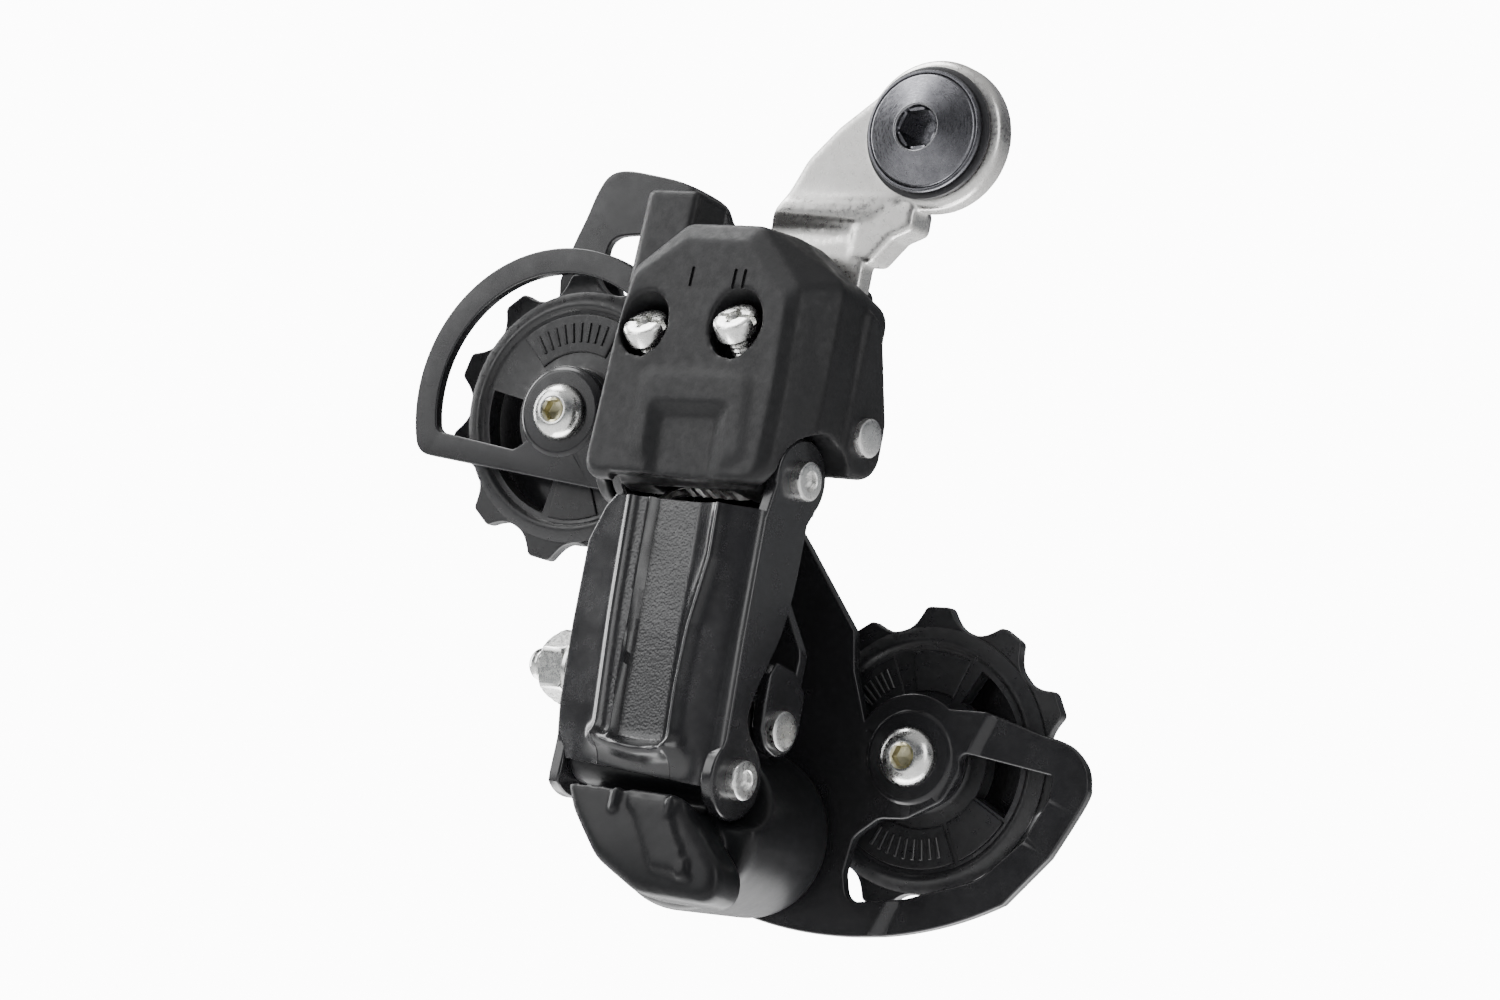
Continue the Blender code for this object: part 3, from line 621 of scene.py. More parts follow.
def bracket(mats):
    boss = turned([(11.25, 0.0), (11.5, -0.08), (11.6, -0.35), (11.6, -3.1), (11.5, -3.6), (11.2, -4.0),
                   (10.8, -4.25), (10.4, -4.4), (9.6, -4.5)], SIDE, steps=96)
    arm = slab(rounded([(-5.5, 9.0, 3), (4.5, -8.0, 3), (-5.5, -9.8, 2), (-9.6, -15.4, 3),
                        (-11.5, -19.0, 2), (-14.0, -30.0, 1), (-28.5, -30.0, 1), (-29.0, -13.0, 6),
                        (-21.0, -1.5, 8), (-15.5, 3.0, 8)]), -4.4, -0.2, SIDE, 0.7)
    planes = [((0, 0, z), (0.12, 0, 1)) for z in (-5.5, -7, -8, -8.8, -9.5, -10.2, -11, -11.8, -12.6, -13.4,
                                                  -14.5, -16)]

    def roll(point):
        z = point.z + 0.12 * (point.x + 20)
        away = step(-8.0, -13.5, point.x)
        lift = -1.15 * bump(z + 9.6, 1.9) + 0.9 * bump(z + 12.8, 1.5)
        return Vector((0, lift * away, 0))

    bend(arm, planes, roll)
    tab = slab(rounded([(-9.5, -8.5, 1), (-2.6, -10.6, 1), (-3.4, -14.3, 1.2), (-6.6, -15.2, 1.5),
                        (-10.5, -18.6, 1), (-14.5, -18.0, 1), (-13.2, -12.0, 2)]), -4.45, 2.3, SIDE, 0.7)
    join(boss, arm, tab)
    cut(boss, rod(0, 0, BUSH_BORE, -8, 4, SIDE, steps=96))
    soften(boss, 0.27, 10)
    place(boss, "bracket_arm_detail", "b_knuckle", mats["nickel"], ["bracket_arm"], 42)


def tick(p, d, reach):
    """The cutter of a plain stroke along D in the housing's front face."""
    stroke = rounded([(p - 0.3, d, 0.25), (p + 0.3, d, 0.25), (p + 0.3, d + reach, 0.25),
                      (p - 0.3, d + reach, 0.25)], 3)
    return prism(stroke, -11.0, -9.05, ALONG_M)


def housing(mats):
    face = [(-25.6, -33.8), (-14.2, -33.9), (-4.6, -25.2), (-3.6, -12.0), (-3.6, 2.4), (-35.2, 3.0),
            (-35.0, -18.0), (-34.0, -27.6)]
    rim = [(-26.6, -36.5), (-12.6, -36.7), (-3.0, -27.2), (-1.9, -12.0), (-1.7, 3.2), (-36.3, 4.2),
           (-36.0, -18.4), (-35.3, -29.0)]
    mid = [(-27.0, -37.0), (-9.6, -36.6), (0.9, -29.4), (1.3, -12.0), (1.3, 3.6), (-36.4, 4.3),
           (-36.2, -18.4), (-35.8, -29.6)]
    back = [(-27.0, -36.4), (-9.6, -34.8), (0.3, -28.6), (1.2, -12.0), (1.2, 3.6), (-36.4, 4.3),
            (-36.2, -18.4), (-35.4, -29.0)]

    def outline(points, r, low_corner=2.0):
        return rounded([(*q, low_corner if i == 4 else r) for i, q in enumerate(points)], 6)

    def between(a, b, t):
        return [(p[0] + (q[0] - p[0]) * t, p[1] + (q[1] - p[1]) * t) for p, q in zip(a, b)]

    f, r, m, b = outline(face, 2.2), outline(rim, 3.0, 4.5), outline(mid, 4.0, 5.5), outline(back, 4.0, 5.5)
    rows = [(shrunk(f, 0.25), -9.42), (shrunk(f, 0.08), -9.38), (between(f, r, 0.08), -9.25),
            (between(f, r, 0.9), -8.35), (between(r, m, 0.03), -8.0), (between(r, m, 0.25), -6.9),
            (m, -3.0), (m, 3.0), (between(m, b, 0.95), 9.6), (shrunk(b, 0.15), 9.95),
            (shrunk(b, 0.5), 10.1)]
    shell = loft([[(*q, w) for q in points] for points, w in rows], ALONG_M)
    ledge = rounded([(-30.0, -14.4, 4), (-6.8, -14.8, 4), (-4.6, 1.9, 4), (-28.0, 1.9, 4)])
    raised = ((0, -8.6), (0.2, -9.35), (2.4, -9.76), (2.9, -9.78))
    join(shell, loft([[(*q, w) for q in shrunk(ledge, inset)] for inset, w in raised], ALONG_M))
    lobe = rounded([(-28.0, 3.0, 1), (-26.5, 7.2, 3), (-12.5, 13.4, 6), (-3.2, 13.9, 5), (-2.4, 3.5, 3)], 8)
    join(shell, slab(lobe, -8.2, 1.9, ALONG_P, 0.9))
    join(shell, rod(*UPPER_INNER, 5.2, -36.5, -27.3, ALONG_P, 0.9, 64))
    join(shell, rod(*UPPER_OUTER, 6.6, -36.3, -30.0, ALONG_P, 0.9, 64))
    post = rounded([(-41.0, -3.5, 3), (-30.0, -3.5, 1), (-30.0, 5.0, 1), (-41.0, 5.0, 3)], 10)
    join(shell, slab(post, -43.2, -27.5, ALONG_D, 0.8))
    join(shell, slab(rounded([(-4.5, -33.0, 2), (-27.0, -33.5, 2), (-27.0, -2.2, 2), (-4.5, -2.2, 2)]), 2.0,
                     12.6, ALONG_M, 0.9))
    ear_room = arc(0, 0, 7.0, 112, 270, 24) + [(20.6, -7.0), (20.6, 22.0), (-2.6, 22.0)]
    cut(shell, prism(ear_room, -4.3, 4.0, ALONG_P))
    cut(shell, prism(ear_room, -33.7, -30.7, ALONG_P))
    heel = arc(-8.0, 8.6, 5.2, 0, 90, 16) + [(-8.0, 20), (9, 20), (9, 8.6)]
    cut(shell, prism(heel, -8.5, 4.2, ALONG_P))
    behind = [(-2.4, 4.3), (-14.4, 4.3), (-14.4, 30), (20, 30), (20, 4.3)]
    cut(shell, prism(behind, -27.6, -7.9, ALONG_P))
    under = [(3.0, -12), (22, -12), (22, 22), (4.25, 22), (4.2, 3.9), (1.5, 4.0), (3.4, 2.0), (4.0, 0.0),
             (4.6, -3.0), (4.2, -6.0), (3.0, -7.0)]
    cut(shell, prism(under, -30.85, -4.2, ALONG_P))
    pocket = [(-5.9, -5.2), (22.5, -5.2), (22.5, 6.0), (-5.9, 6.0)]
    cut(shell, prism(pocket, -25.0, -10.0, ALONG_P))
    for frame_, reach in ((LOW_SCREW, 4.45), (HIGH_SCREW, 4.7)):
        steep = basis(frame_ @ Vector((0, -0.35, 2.4)), frame_.col[0].xyz,
                      frame_.col[1].xyz + frame_.col[2].xyz * 0.22,
                      frame_.col[2].xyz - frame_.col[1].xyz * 0.22)
        mouth = circle(0, 0, reach, 56)
        cut(shell, prism(mouth, 3.4, -14, steep))
        cut(shell, rod(0, 0, 2.25, 0, 15.0, frame_, steps=32))
    scoop = rounded([(-26.0, -8.6, 1.2), (-10.2, -9.2, 1.2), (-7.8, 6.0, 1), (-24.8, 6.0, 1)])
    floor_ = rounded([(-23.6, -6.6, 1.2), (-13.2, -7.0, 1.2), (-12.2, 6.2, 1), (-22.2, 6.2, 1)])
    cut(shell, loft([[(*q, -11.5) for q in shrunk(scoop, -1.6)], [(*q, -9.95) for q in scoop],
                     [(*q, -8.75) for q in floor_], [(*q, -8.6) for q in shrunk(floor_, 0.5)]], ALONG_M))
    cut(shell, rod(-36.6, 0.9, 2.3, -50, -32.0, ALONG_D, steps=40),
        rod(-36.6, 0.9, 0.9, -50, -20, ALONG_D, steps=24))
    soften(shell, 0.36, 7)
    cut(shell, tick(-23.0, -29.4, 3.2), tick(-15.0, -29.4, 3.2), tick(-13.2, -29.4, 3.2))
    place(shell, "housing_detail", "b_knuckle", mats["resin"], ["housing"], 36)


def limit_screw(mats, name, body, node, frame_, out):
    frame_ = frame_ @ Matrix.Translation((0, 0, -out))
    profile = [(2.2, 0.0), (2.9, 0.08), (3.3, 0.3), (3.5, 0.7), (3.5, 2.7), (3.35, 3.1), (2.9, 3.3),
               (2.2, 3.3)]
    screw = turned(profile + thread(2.2, 3.6, 13.4, 0.8, 0.32) + [(1.5, 14.2)], frame_, steps=48)
    for wide, long_, deep in ((0.42, 5.0, 1.3), (1.9, 0.42, 1.2)):
        slot_ = [(-long_, -wide), (long_, -wide), (long_, wide), (-long_, wide)]
        cut(screw, prism(slot_, -2, deep, frame_))
    cut(screw, turned([(1.3, -1), (1.3, 0.6), (0.2, 1.5)], frame_, steps=24))
    place(screw, name, body, mats["zinc"], [node], 30)


def pin(mats, name, body, node, where, top, bottom, head_top, head_bottom, hollow=True):
    u, v = where
    profile = [(1.6, head_bottom), (2.4, head_bottom + 0.15), (2.75, head_bottom + 0.5), (2.8, bottom),
               (PIN_R, bottom)]
    profile += [(PIN_R, top), (3.0, top), (3.0, head_top - 0.45), (2.92, head_top - 0.18),
                (2.7, head_top - 0.03)]
    if hollow:
        profile += [(2.5, head_top), (1.62, head_top), (1.45, head_top - 0.12), (1.3, head_top - 0.8),
                    (0.6, head_top - 0.95)]
    else:
        profile += [(2.3, head_top + 0.05), (1.2, head_top + 0.12), (0.4, head_top + 0.13)]
    obj = turned(profile, ALONG_P, u, v, 56)
    place(obj, name, body, mats["pin"], [node], 30)


def outer_link(mats):
    front = [(6.4, -9.3), (13.5, -8.9), (26.0, -8.2), (46.8, -6.45)]
    left_edge = [(6.4, -29.05), (8.2, -30.6), (13.5, -33.05), (46.8, -33.05)]
    drop = [(6.4, 0.8), (13.5, 1.6), (26.0, 1.5), (38.0, 1.7), (46.8, 2.9)]
    ridge_one = [(6.0, -25.1), (21.7, -24.7), (40.1, -24.0), (47, -23.6)]
    ridge_two = [(6.0, -21.4), (21.6, -21.3), (37.0, -21.3), (47, -21.3)]
    panel_end = [(6.0, -13.5), (41.5, -12.3), (47, -12.0)]
    ridge_three = [(5.7, -8.5), (14.5, -8.3), (24.6, -9.8), (33.8, -10.3), (47, -10.0)]

    def detail(p, d):
        one, two, end, three = (along(t, d) for t in (ridge_one, ridge_two, panel_end, ridge_three))
        crescent = 43.7 - 0.018 * (p + 16.5) ** 2
        fade = 1 - step(crescent - 1.6, crescent - 0.2, d)
        sunk = step(two + 0.2, two + 0.9, p) * (1 - step(end, three - 0.5, p))
        m = 1.0 * sunk * fade + 0.45 * step(one, one + 0.9, p) * (1 - step(two - 0.7, two, p)) * fade
        ends = step(-26.5, -24.0, p) * (1 - step(-10.0, -7.4, p))
        m -= 0.6 * bump(p - one, 0.75) * (1 - step(41, 44, d)) + 0.3 * bump(p - two, 0.4) * fade
        m -= 0.75 * bump(p - three, 0.9) * (1 - step(42, 45, d))
        m -= 1.5 * bump(d - crescent, 1.15) * ends
        m += 0.9 * step(crescent + 0.5, 46.8, d) * step(-29.0, -25.0, p) * (1 - step(-8.0, -4.0, p))
        return m

    def row(d):
        f, left, sink = along(front, d), along(left_edge, d), along(drop, d)
        one, three = along(ridge_one, d), along(ridge_three, d)
        turn = max(one, left + 2.2)
        path = [(left, 5.4, left + 1.5, 5.4), (left, sink + 1.6, left + 1.5, sink + 2.7),
                (left + 0.06, sink + 0.5, left + 1.6, sink + 2.35),
                (left + 0.7, sink - 0.1, left + 1.8, sink + 2.1), (one - 0.4, 0.15, turn, 2.2),
                (one + 0.4, 0, turn + 0.6, 2.1), (-18.0, -0.05, -18.0, 2.1),
                (three - 0.3, 0, three - 0.5, 2.1), (three + 0.5, 0.1, three, 2.15),
                (-4.4, 0.95, -5.2, 2.6), (-3.0, 1.45, -4.6, 2.9), (-2.2, 2.1, -4.2, 3.3),
                (-1.8, 3.0, -3.8, 3.9), (-1.72, 4.2, -3.6, 4.6), (-1.72, 5.4, -3.6, 5.4)]
        outer, inner = [], []
        for p, m in spline([(q[0], f + q[1]) for q in path], 16):
            low = (1.3 * (p + 28) / 23 - 0.4) * step(40, 46.2, d)
            outer.append((p, m + detail(p, d), d + low))
        for p, m in spline([(q[2], f + q[3]) for q in path], 16):
            inner.append((p, m, d + (1.3 * (p + 28) / 23 - 0.4) * step(40, 46.2, d)))
        return outer, inner

    body = sheet([row(6.4 + 40.4 * k / 120) for k in range(121)], ALONG_D)
    back_edge = [(38.5, 1.0), (36.0, -0.4), (31.0, 0.6), (23.0, 3.4), (15.5, 4.2), (6.0, 3.9)]
    right = arc(0, 0, 6.2, 55, 290, 40) + [(7.4, -6.7), (26.0, -5.7), (40.2, -4.6)]
    right += arc(LINK_L, 0, 6.2, -130, 140, 44) + spline(back_edge, 5)
    left = arc(0, 0, 6.2, 55, 335, 40) + [(13.5, -6.9), (26.0, -6.0), (40.2, -4.6), (44.0, -4.3),
                                          (48.5, -4.3)]
    left += arc(LINK_L, 0, 6.2, -42, 140, 30) + spline(back_edge, 5)
    join(body, slab(right, -3.9, -1.7, ALONG_P, 0.45), slab(left, -33.2, -31.0, ALONG_P, 0.45))
    cut(body, rod(*LOWER_OUTER, 4.3, -31.0, -3.9, ALONG_P, steps=48))
    inverse = ALONG_D.inverted()

    def pick(centre, normal):
        p, m, d = inverse @ centre
        if normal.dot(M_DIR) > -0.6 or not 6.5 < d < 44:
            return 0
        if d > 42.6 - 0.018 * (p + 16.5) ** 2 or abs(m - along(front, d)) > 1.6:
            return 0
        strip = along(ridge_one, d) + 0.7 < p < along(ridge_two, d) - 0.4
        wide = along(ridge_two, d) + 0.7 < p < along(panel_end, d) + 0.4
        return 1 if strip or wide else 0

    paint(body, [mats["link"], mats["pebble"]], pick)
    place(body, "outer_link_detail", "outer_link", mats["link"], ["outer_link"], 40)


def inner_link(mats):
    low_d, low_m = LOWER_INNER
    body = rod(*UPPER_INNER, 3.8, -27.0, -8.5, ALONG_P, 0.4, 48)
    wide = rounded([(-26.8, -9.2, 0.8), (-8.7, -9.2, 0.8), (-8.7, 15, 4), (-2.7, 24, 4), (-2.7, 31.0, 1),
                    (-35.4, 31.0, 1), (-35.4, 26.0, 1), (-26.8, 18, 4)])
    join(body, slab(wide, 10.3, 12.4, ALONG_M, 0.4))
    cheek = rounded([(-9.1, 5.0, 0.8), (14, 5.6, 1), (18, 10.6, 0.8), (18, 11.9, 0.5), (-9.1, 11.9, 0.8)])
    join(body, slab(cheek, -26.6, -24.7, ALONG_P, 0.3), slab(cheek, -10.8, -8.9, ALONG_P, 0.3))
    ear = rounded([(26.6, 5.0, 1), (27.0, 10.0, 2), (29.4, 13.4, 2), (35.6, 13.9, 3), (39.0, 12.6, 3),
                   (40.3, 9.4, 3), (39.4, 6.2, 3), (37.0, 4.5, 3), (33.0, 3.9, 2), (29.0, 3.7, 2)])
    join(body, slab(ear, -30.0, -27.8, ALONG_P, 0.5), slab(ear, -4.7, -2.5, ALONG_P, 0.5))
    tab = arc(31.6, 3.0, 5.9, 165, 350, 40) + [(36.4, 11.0), (31.0, 12.2), (26.2, 12.2)]
    join(body, slab(tab, -35.7, -33.7, ALONG_P, 0.4))
    for u, v, r in ((*UPPER_INNER, 2.06), (low_d, low_m, 2.03)):
        cut(body, rod(u, v, r, -33, 5, ALONG_P, steps=40))
    place(body, "inner_link_detail", "inner_link", mats["link"], ["inner_link"], 40)


def anchor(mats):
    u, v = 31.6, 3.0
    bolt = turned([(2.5, -33.8), (2.5, -40.5)] + thread(2.5, -40.6, -45.0, 0.8, 0.3)
                  + [(2.35, -45.4), (2.0, -45.8), (1.4, -46.1), (0.6, -46.2)], ALONG_P, u, v, 48)
    place(bolt, "anchor_stud_detail", "inner_link", mats["zinc"], ["anchor_bolt"], 30)
    washer = turned([(2.56, -36.8), (2.56, -35.8), (5.4, -35.8), (5.6, -36.0), (5.6, -36.6), (5.4, -36.8)],
                    ALONG_P, u, v, 64, closed=True)
    place(washer, "anchor_washer_detail", "inner_link", mats["zinc"], ["anchor_washer"], 30)
    turn = math.radians(12)
    shape = hexagon(10.0, turn)
    profile = [(2.56, -36.9), (4.9, -36.9), (lambda a: min(shape(a), 5.35), -37.15), (shape, -37.5),
               (shape, -40.9)]
    profile += [(lambda a: min(shape(a), 5.45), -41.3), (lambda a: min(shape(a), 5.05), -41.6), (4.7, -41.7)]
    profile += [(2.9, -41.7), (2.56, -41.4)]
    nut = turned(profile, ALONG_P, u, v, 96, closed=True)
    place(nut, "anchor_nut_detail", "clamp_nut", mats["zinc"], ["anchor_nut"], 30)


def p_knuckle(mats):
    low_d, low_m = LOWER_INNER
    outline = rounded([(-28.2, 46.2, 1.6), (-5.2, 46.2, 1.6), (-5.0, 51.4, 2.5), (3.6, 59.6, 5.0),
                       (3.2, 64.9, 4), (-10.5, 64.9, 8), (-19.4, 60.6, 8), (-25.6, 54.0, 6),
                       (-28.0, 50.0, 3)])
    body = slab(outline, -6.5, 0.6, ALONG_M, 1.2, 5)
    barrel = rod(CAGE_X, CAGE_Z, 12.8, -19.6, 4.9, SIDE, 1.6, 128)
    cut(barrel, rod(*LOWER_OUTER, 6.8, -4.15, 8, ALONG_P, steps=64))
    lug = rod(low_d, low_m, 4.0, -27.5, -5.0, ALONG_P, 0.4, 56)
    web = slab([(-27.3, low_d), (-5.2, low_d), (-5.2, 50.0), (-27.3, 50.0)], 4.8, 12.0, ALONG_M, 0.4)
    heap(body, barrel, lug, web, rod(*LOWER_OUTER, 3.8, -30.7, -4.4, ALONG_P, 0.4, 56))
    soften(body, 0.42, 6)
    inverse = ALONG_M.inverted()

    def crown(point):
        p, d, m = inverse @ point
        rise = max(0.0, 1 - ((p + 12.5) / 17) ** 2) * max(0.0, 1 - ((d - 56) / 11) ** 2)
        return M_DIR * (-0.85 * rise * (1 - step(-6.0, -2.5, m)))

    bend(body, [], crown)
    lip_room = [(40, -10), (49.4, -10), (49.5, -7.6), (50.4, -5.2), (51.2, -3.2), (51.3, -1.6), (50.6, -0.5),
                (49.5, -0.7), (48.85, -1.95), (47.4, -3.4), (45.4, -3.95), (40, -3.95)]
    cut(body, prism(lip_room, -40, 10, ALONG_P))
    soften(body, 0.42, 8)
    panel = rounded([(-17.7, 49.7, 1.5), (-6.6, 49.7, 1.5), (-1.8, 59.2, 4), (0.2, 62.4, 2), (-9.0, 62.2, 3),
                     (-12.6, 57.0, 4)])
    rise = [(0, -5.6), (0, -6.7), (1.6, -7.5), (2.6, -7.58)]
    panel = loft([[(*q, w) for q in shrunk(panel, inset)] for inset, w in rise], ALONG_M)
    heap(body, panel)
    for p in (-17.4, -7.2):
        rib = rounded([(p - 0.8, 49.8, 0.7), (p + 0.8, 49.8, 0.7), (p + 0.7, 53.4, 0.5),
                       (p - 0.7, 53.4, 0.5)])
        heap(body, slab(rib, -7.75, -5.6, ALONG_M, 0.5, 3))
    soften(body, 0.36, 4)
    cut(body, rod(CAGE_X, CAGE_Z, 9.8, -8.6, 8, SIDE, steps=96))
    cut(body, rod(CAGE_X, CAGE_Z, AXLE_BORE, -12.0, 8, SIDE, steps=48))
    for u, v in (LOWER_INNER, LOWER_OUTER):
        cut(body, rod(u, v, PIN_BORE, -40, 5, ALONG_P, steps=40))
    place(body, "p_knuckle_detail", "p_knuckle", mats["gloss"], ["p_knuckle"], 34)


def cage_outer(mats):
    outline = [(-56.0, -50.5), (-47.6, -97.0)] + arc(CAGE_X, CAGE_Z, 13.2, 160, 236, 16)
    outline += arc(-16.15, -60.2, 59.1, 247.5, 291.6, 44)
    outline += spline([(12.2, -109.9), (18.7, -100.9), (19.6, -98.0), (19.2, -95.2), (17.2, -92.5),
                       (14.5, -91.0), (11.6, -90.0), (3.4, -86.4)], 5)[1:]
    outline += arc(*GUIDE, 9.6, 46, 142, 22) + [(-18.3, -79.0), (-18.3, -73.0), (-26.2, -59.2),
                                                (-41.5, -34.0)]
    outline += arc(-71.8, -34.1, 25.9, 10, 184, 72) + arc(-94.5, -36.8, 3.0, 187, 256, 9)
    outline += [(-65.0, -47.4), (-60.5, -48.3)]
    upper = arc(-71.8, -34.1, 21.8, 2, 177, 64) + arc(-91.8, -34.6, 1.75, 183, 255, 7)
    upper += [(-79.2, -40.1), (-77.9, -39.6)]
    upper += arc(*TENSION, 7.6, 212, -28, 40) + [(-58.0, -38.2), (-50.8, -36.8)]
    hook = rounded([(13.9, -96.4, 0.5), (13.2, -99.8, 2), (9.2, -105.6, 5), (1.6, -111.3, 8),
                    (-10.8, -113.8, 12), (-20.0, -114.0, 2), (-20.4, -109.6, 3), (-18.6, -104.2, 3),
                    (-14.3, -101.6, 3), (-9.9, -101.9, 4), (-3.6, -99.4, 4), (-0.8, -95.4, 4),
                    (-0.9, -92.2, 1.5)], 8)
    holes = [upper, hook, circle(CAGE_X, CAGE_Z, 3.02, 48), circle(*GUIDE, BOLT_BORE, 32),
             circle(*TENSION, BOLT_BORE, 32)]
    body = plate(outline, holes, 5.7, 7.7, SIDE, 0.32, 3)
    start, along_ = Vector((0.2, 0, -92.4)), Vector((-20.5, 0, -33.0)).normalized()
    across = Vector((-along_.z, 0, along_.x))
    planes = [(start + across * s, across) for s in (-0.2, 0.15, 0.5, 0.85, 1.2, 1.55, 1.9, 2.3)]

    def joggle(point):
        reach = (point - start).dot(across)
        return Vector((0, 0.85 * step(0.2, 1.8, reach), 0))

    bend(body, planes, joggle)
    for x, z in (GUIDE, TENSION):
        boss = turned([(BOLT_BORE, 7.3), (BOLT_BORE, 5.25), (6.4, 5.25), (6.7, 5.3), (6.95, 5.45),
                       (7.2, 5.68), (7.5, 5.85), (7.5, 7.3)], SIDE, x, z, 80, closed=True)
        join(body, boss)
    place(body, "cage_outer_plate_detail", "cage", mats["paint"], ["cage_outer_plate"], 40)


def guard_outline():
    """The chain guard's outline, from the right side of the tension disc round to its left side."""
    return spline([(-64.3, -17.2), (-66.4, -12.0), (-67.2, -8.2), (-65.4, -5.5), (-60.0, -5.4),
                   (-46.2, -6.0), (-45.0, -4.6), (-45.6, -2.4), (-48.4, -0.2), (-53.0, 2.3), (-58.0, 4.0),
                   (-63.4, 5.4), (-66.6, 5.0), (-68.8, 2.6), (-71.0, -1.6), (-74.0, -7.0), (-78.6, -17.4)],
                  5)


def cage_inner(mats):
    outline = arc(*GUIDE, 17.0, -150, 60, 40) + [(-20.0, -76.5), (-27.5, -71.0), (-33.4, -60.4),
                                                 (-48.6, -36.6)]
    outline += arc(*TENSION, 18.0, 10, 56, 8)
    outline += guard_outline()
    outline += arc(*TENSION, 20.0, 150, 262, 24)
    outline += [(-62.0, -56.0), (-53.0, -70.0), (-44.5, -88.0), (-36.5, -97.0), (-28.0, -101.0)]
    slot_ = rounded([(-30.5, -78.5, 2), (-38.5, -64.0, 5), (-50.0, -48.5, 2), (-53.5, -52.0, 2),
                     (-55.0, -58.0, 3), (-46.5, -74.0, 5), (-37.5, -88.5, 2), (-33.0, -86.0, 2)])
    holes = [slot_, circle(*TENSION, 2.53, 32), circle(*GUIDE, 2.53, 32)]
    body = plate(outline, holes, 16.4, 18.0, SIDE, 0.3, 3)
    planes = [((0, 0, z), (-0.25, 0, 1)) for z in (-13.5, -12.7, -11.9, -11.1, -10.3, -9.5, -8.7, -7.9)]

    def fold(point):
        z = point.z - 0.25 * (point.x + 69)
        return Vector((0, -1.9 * step(-12.6, -9.2, z), 0))

    bend(body, planes, fold)
    place(body, "cage_inner_plate_detail", "cage", mats["paint"], ["cage_inner_plate"], 40)


def sector(cx, cz, inner, outer, start, end, steps=18):
    return arc(cx, cz, outer, start, end, steps) + arc(cx, cz, inner, end, start, steps)


def pulley(mats, name, body, node, centre, phase, windows, pads):
    """Toothed wheel with a sunk web, windows, and raised pads; the lettering of a real one is left plain."""
    cx, cz = centre
    pitch = 360.0 / TEETH
    outline = []
    for k in range(TEETH):
        a = phase + k * pitch
        for b, r in ((-4.7, 23.3), (-3.6, 23.4), (3.6, 23.4), (4.7, 23.3), (5.6, 23.0)):
            t = math.radians(a + b)
            outline.append((cx + r * math.cos(t), cz + r * math.sin(t)))
        middle = math.radians(a + pitch / 2)
        for q in range(13):
            s = -1 + q / 6
            r = 20.35 + 2.35 * abs(s) ** 2.6
            t = middle + math.radians(10.3 * s)
            outline.append((cx + r * math.cos(t), cz + r * math.sin(t)))
        t = math.radians(a + pitch - 5.6)
        outline.append((cx + 23.0 * math.cos(t), cz + 23.0 * math.sin(t)))
    half = [(PULLEY_BORE, 3.6), (7.1, 3.6), (7.35, 3.5), (7.5, 3.2), (7.7, 2.1), (8.3, 1.75), (12.0, 1.6),
            (16.6, 1.6), (17.2, 1.7), (17.6, 2.1), (18.0, 2.25), (18.6, 2.2), (19.6, 1.8), (20.2, 1.5)]
    profile = [(r, PULLEY_Y - w) for r, w in half] + [(r, PULLEY_Y + w) for r, w in reversed(half)]
    wheel = turned(profile, SIDE, cx, cz, 132, closed=True)
    join(wheel, slab(outline, PULLEY_Y - 1.15, PULLEY_Y + 1.15, SIDE, 0.35, 3))
    for start, end in windows:
        hole = sector(cx, cz, 10.5, 16.3, start, end)
        cut(wheel, prism(hole, 0, 30, SIDE))
    for start, end, ribs in pads:
        join(wheel, slab(sector(cx, cz, 10.4, 16.6, start, end), PULLEY_Y - 1.95, PULLEY_Y - 1.0, SIDE,
                         0.25, 2))
        for k in range(ribs):
            a = start + 5 + (end - start - 10) * (k + 0.5) / ribs
            join(wheel, slab(sector(cx, cz, 12.0, 15.2, a - 1.0, a + 1.0, 2), PULLEY_Y - 2.2,
                             PULLEY_Y - 1.5, SIDE, 0.12, 1))
    cut(wheel, rod(cx, cz, PULLEY_BORE, 0, 30, SIDE, steps=48))
    place(wheel, name, body, mats["pulley"], [node], 34)


def pulley_bolt(mats, name, node, centre):
    cx, cz = centre
    profile = [(1.6, 18.0), (2.3, 17.7)] + thread(2.5, 17.4, 15.4, 0.8, 0.3) + [(2.5, 5.25), (4.3, 5.25),
                                                                                (4.45, 5.15)]
    profile += [(4.5, 4.9), (4.45, 4.55), (4.3, 4.15), (4.0, 3.7), (3.6, 3.32), (3.1, 3.02), (2.6, 2.86),
                (2.25, 2.8)]
    profile += [(2.05, 2.84), (1.95, 3.0), (hexagon(3.1), 3.2), (hexagon(3.0), 3.3), (hexagon(3.0), 4.8),
                (0.4, 5.1)]
    bolt = turned(profile, SIDE, cx, cz, 72)
    paint(bolt, [mats["zinc"], mats["socket"]],
          lambda c, n: 1 if math.hypot(c.x - cx, c.z - cz) < 1.9 and 2.8 < c.y < 5.2 else 0)
    place(bolt, name, "cage", mats["zinc"], [node], 30)


# Scene


def carried_over(mats):
    """CAD nodes whose shape stays get a finish of their own."""
    kept = {"return_spring": "steel", "tension_spring": "steel", "cage_axle": "steel",
            "cage_stop_pin": "zinc", "guide_bush": "steel", "tension_bush": "steel"}
    for name, finish in kept.items():
        mesh = frame["nodes"][name].data
        mesh.materials.clear()
        mesh.materials.append(mats[finish])


def lamp(name, place_, target, size, power):
    light = bpy.data.lights.new(name, "AREA")
    light.shape = "RECTANGLE"
    light.size, light.size_y = size
    light.energy = power
    obj = bpy.data.objects.new(name, light)
    bpy.context.scene.collection.objects.link(obj)
    obj.location = Vector(place_)
    obj.rotation_mode = "QUATERNION"
    obj.rotation_quaternion = (Vector(target) - Vector(place_)).to_track_quat("-Z", "Y")


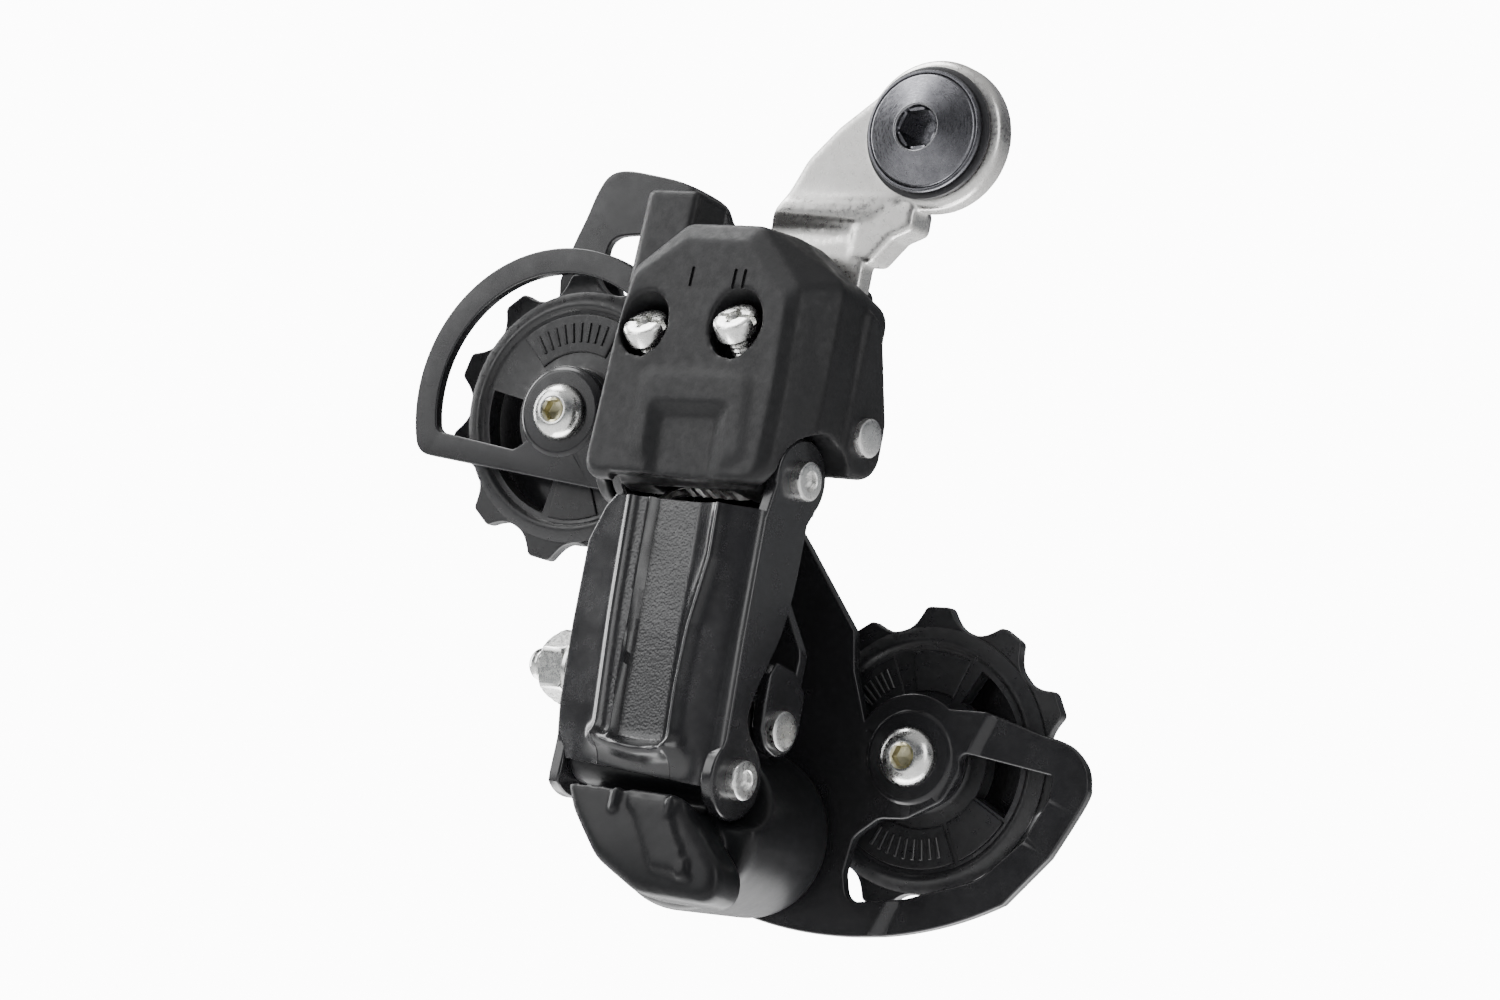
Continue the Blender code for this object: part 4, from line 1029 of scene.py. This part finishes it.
def studio():
    """White surroundings, the pale floor, the soft lamps and the camera."""
    world = bpy.data.worlds.new("studio")
    world.use_nodes = True
    tree = world.node_tree
    around = tree.nodes["Background"]
    height = tree.nodes.new("ShaderNodeSeparateXYZ")
    tree.links.new(tree.nodes.new("ShaderNodeTexCoord").outputs["Generated"], height.inputs[0])
    shades = tree.nodes.new("ShaderNodeValToRGB")
    tree.links.new(height.outputs["Z"], shades.inputs["Fac"])
    shades.color_ramp.elements[0].position = 0.0
    shades.color_ramp.elements[0].color = (0.75, 0.78, 0.8, 1)
    shades.color_ramp.elements[1].position = 0.75
    shades.color_ramp.elements[1].color = (1.0, 1.0, 1.0, 1)
    shades.color_ramp.elements.new(0.08).color = (0.12, 0.12, 0.13, 1)
    shades.color_ramp.elements.new(0.4).color = (0.3, 0.31, 0.33, 1)
    tree.links.new(shades.outputs["Color"], around.inputs["Color"])
    around.inputs["Strength"].default_value = LIGHT_AROUND
    seen = tree.nodes.new("ShaderNodeBackground")
    seen.inputs["Color"].default_value = (1, 1, 1, 1)
    seen.inputs["Strength"].default_value = WHITE_AROUND
    mix = tree.nodes.new("ShaderNodeMixShader")
    tree.links.new(tree.nodes.new("ShaderNodeLightPath").outputs["Is Camera Ray"], mix.inputs[0])
    tree.links.new(around.outputs[0], mix.inputs[1])
    tree.links.new(seen.outputs[0], mix.inputs[2])
    tree.links.new(mix.outputs[0], tree.nodes["World Output"].inputs["Surface"])
    bpy.context.scene.world = world
    pale = bpy.data.materials.new("floor")
    pale.use_nodes = True
    shader = pale.node_tree.nodes["Principled BSDF"]
    shader.inputs["Base Color"].default_value = (0.9, 0.9, 0.9, 1)
    shader.inputs["Roughness"].default_value = 0.7
    ground = prism(circle(-30, 0, 3000, 96), FLOOR_Z - 2, FLOOR_Z, basis((0, 0, 0), X, Y, Z))
    ground.name = "floor"
    ground.data.materials.append(pale)
    target = (-0.035, 0.0, -0.055)
    lamp("key", (-0.95, -0.95, 0.62), target, (0.8, 0.9), 10)
    lamp("fill", (1.0, -0.6, 0.25), target, (0.4, 1.0), 5)
    lamp("top", (-0.5, -0.12, 0.95), target, (0.8, 0.5), 13)
    lamp("rim", (-1.05, 0.15, 0.35), target, (0.3, 0.9), 9)
    lamp("low", (-0.06, 0.03, -0.25), (-0.05, 0, 0), (0.32, 0.26), 2.0)
    camera = bpy.data.cameras.new("camera")
    camera.sensor_width = SENSOR
    camera.lens = SENSOR * FOCAL_TO_WIDTH
    camera.clip_start, camera.clip_end = 0.01, 50
    obj = bpy.data.objects.new("camera", camera)
    bpy.context.scene.collection.objects.link(obj)
    a, e = math.radians(CAMERA_AZIMUTH), math.radians(CAMERA_ELEVATION)
    back = Vector((math.sin(a) * math.cos(e), -math.cos(a) * math.cos(e), math.sin(e)))
    obj.location = CAMERA_PLACE
    obj.rotation_mode = "QUATERNION"
    obj.rotation_quaternion = (-back).to_track_quat("-Z", "Y")
    bpy.context.scene.camera = obj


def build():
    mats = make_finishes()
    mounting_bolt(mats)
    bracket(mats)
    housing(mats)
    limit_screw(mats, "limit_screw_low_detail", "low_screw", "limit_screw_low", LOW_SCREW, 0.2)
    limit_screw(mats, "limit_screw_high_detail", "high_screw", "limit_screw_high", HIGH_SCREW, 1.2)
    pin(mats, "pin_upper_outer_detail", "outer_link", "pin_upper_outer", UPPER_OUTER, -1.7, -33.2, 0.0, -34.6)
    pin(mats, "pin_lower_outer_detail", "outer_link", "pin_lower_outer", LOWER_OUTER, -1.7, -33.2, 0.0, -34.6)
    pin(mats, "pin_upper_inner_detail", "b_knuckle", "pin_upper_inner", UPPER_INNER, 1.4, -36.5, 3.0, -37.6,
        False)
    pin(mats, "pin_lower_inner_detail", "inner_link", "pin_lower_inner", LOWER_INNER, -2.5, -30.0, -1.0,
        -31.4, False)
    outer_link(mats)
    inner_link(mats)
    anchor(mats)
    p_knuckle(mats)
    cage_outer(mats)
    cage_inner(mats)
    pulley(mats, "guide_pulley_detail", "guide_wheel", "guide_pulley", GUIDE, 18.4,
           ((-35.3, 52.3), (151.7, 214.7)), ((-69, -37, 0), (-133, -72, 9), (60, 95, 0), (106, 141, 6)))
    pulley(mats, "tension_pulley_detail", "tension_wheel", "tension_pulley", TENSION, 120.7,
           ((159.7, 247.3), (-13.3, 49.7)), ((59, 125, 9), (-108, -76, 0), (-68, -30, 6)))
    pulley_bolt(mats, "guide_bolt_detail", "guide_bolt", GUIDE)
    pulley_bolt(mats, "tension_bolt_detail", "tension_bolt", TENSION)
    carried_over(mats)
    studio()


build()
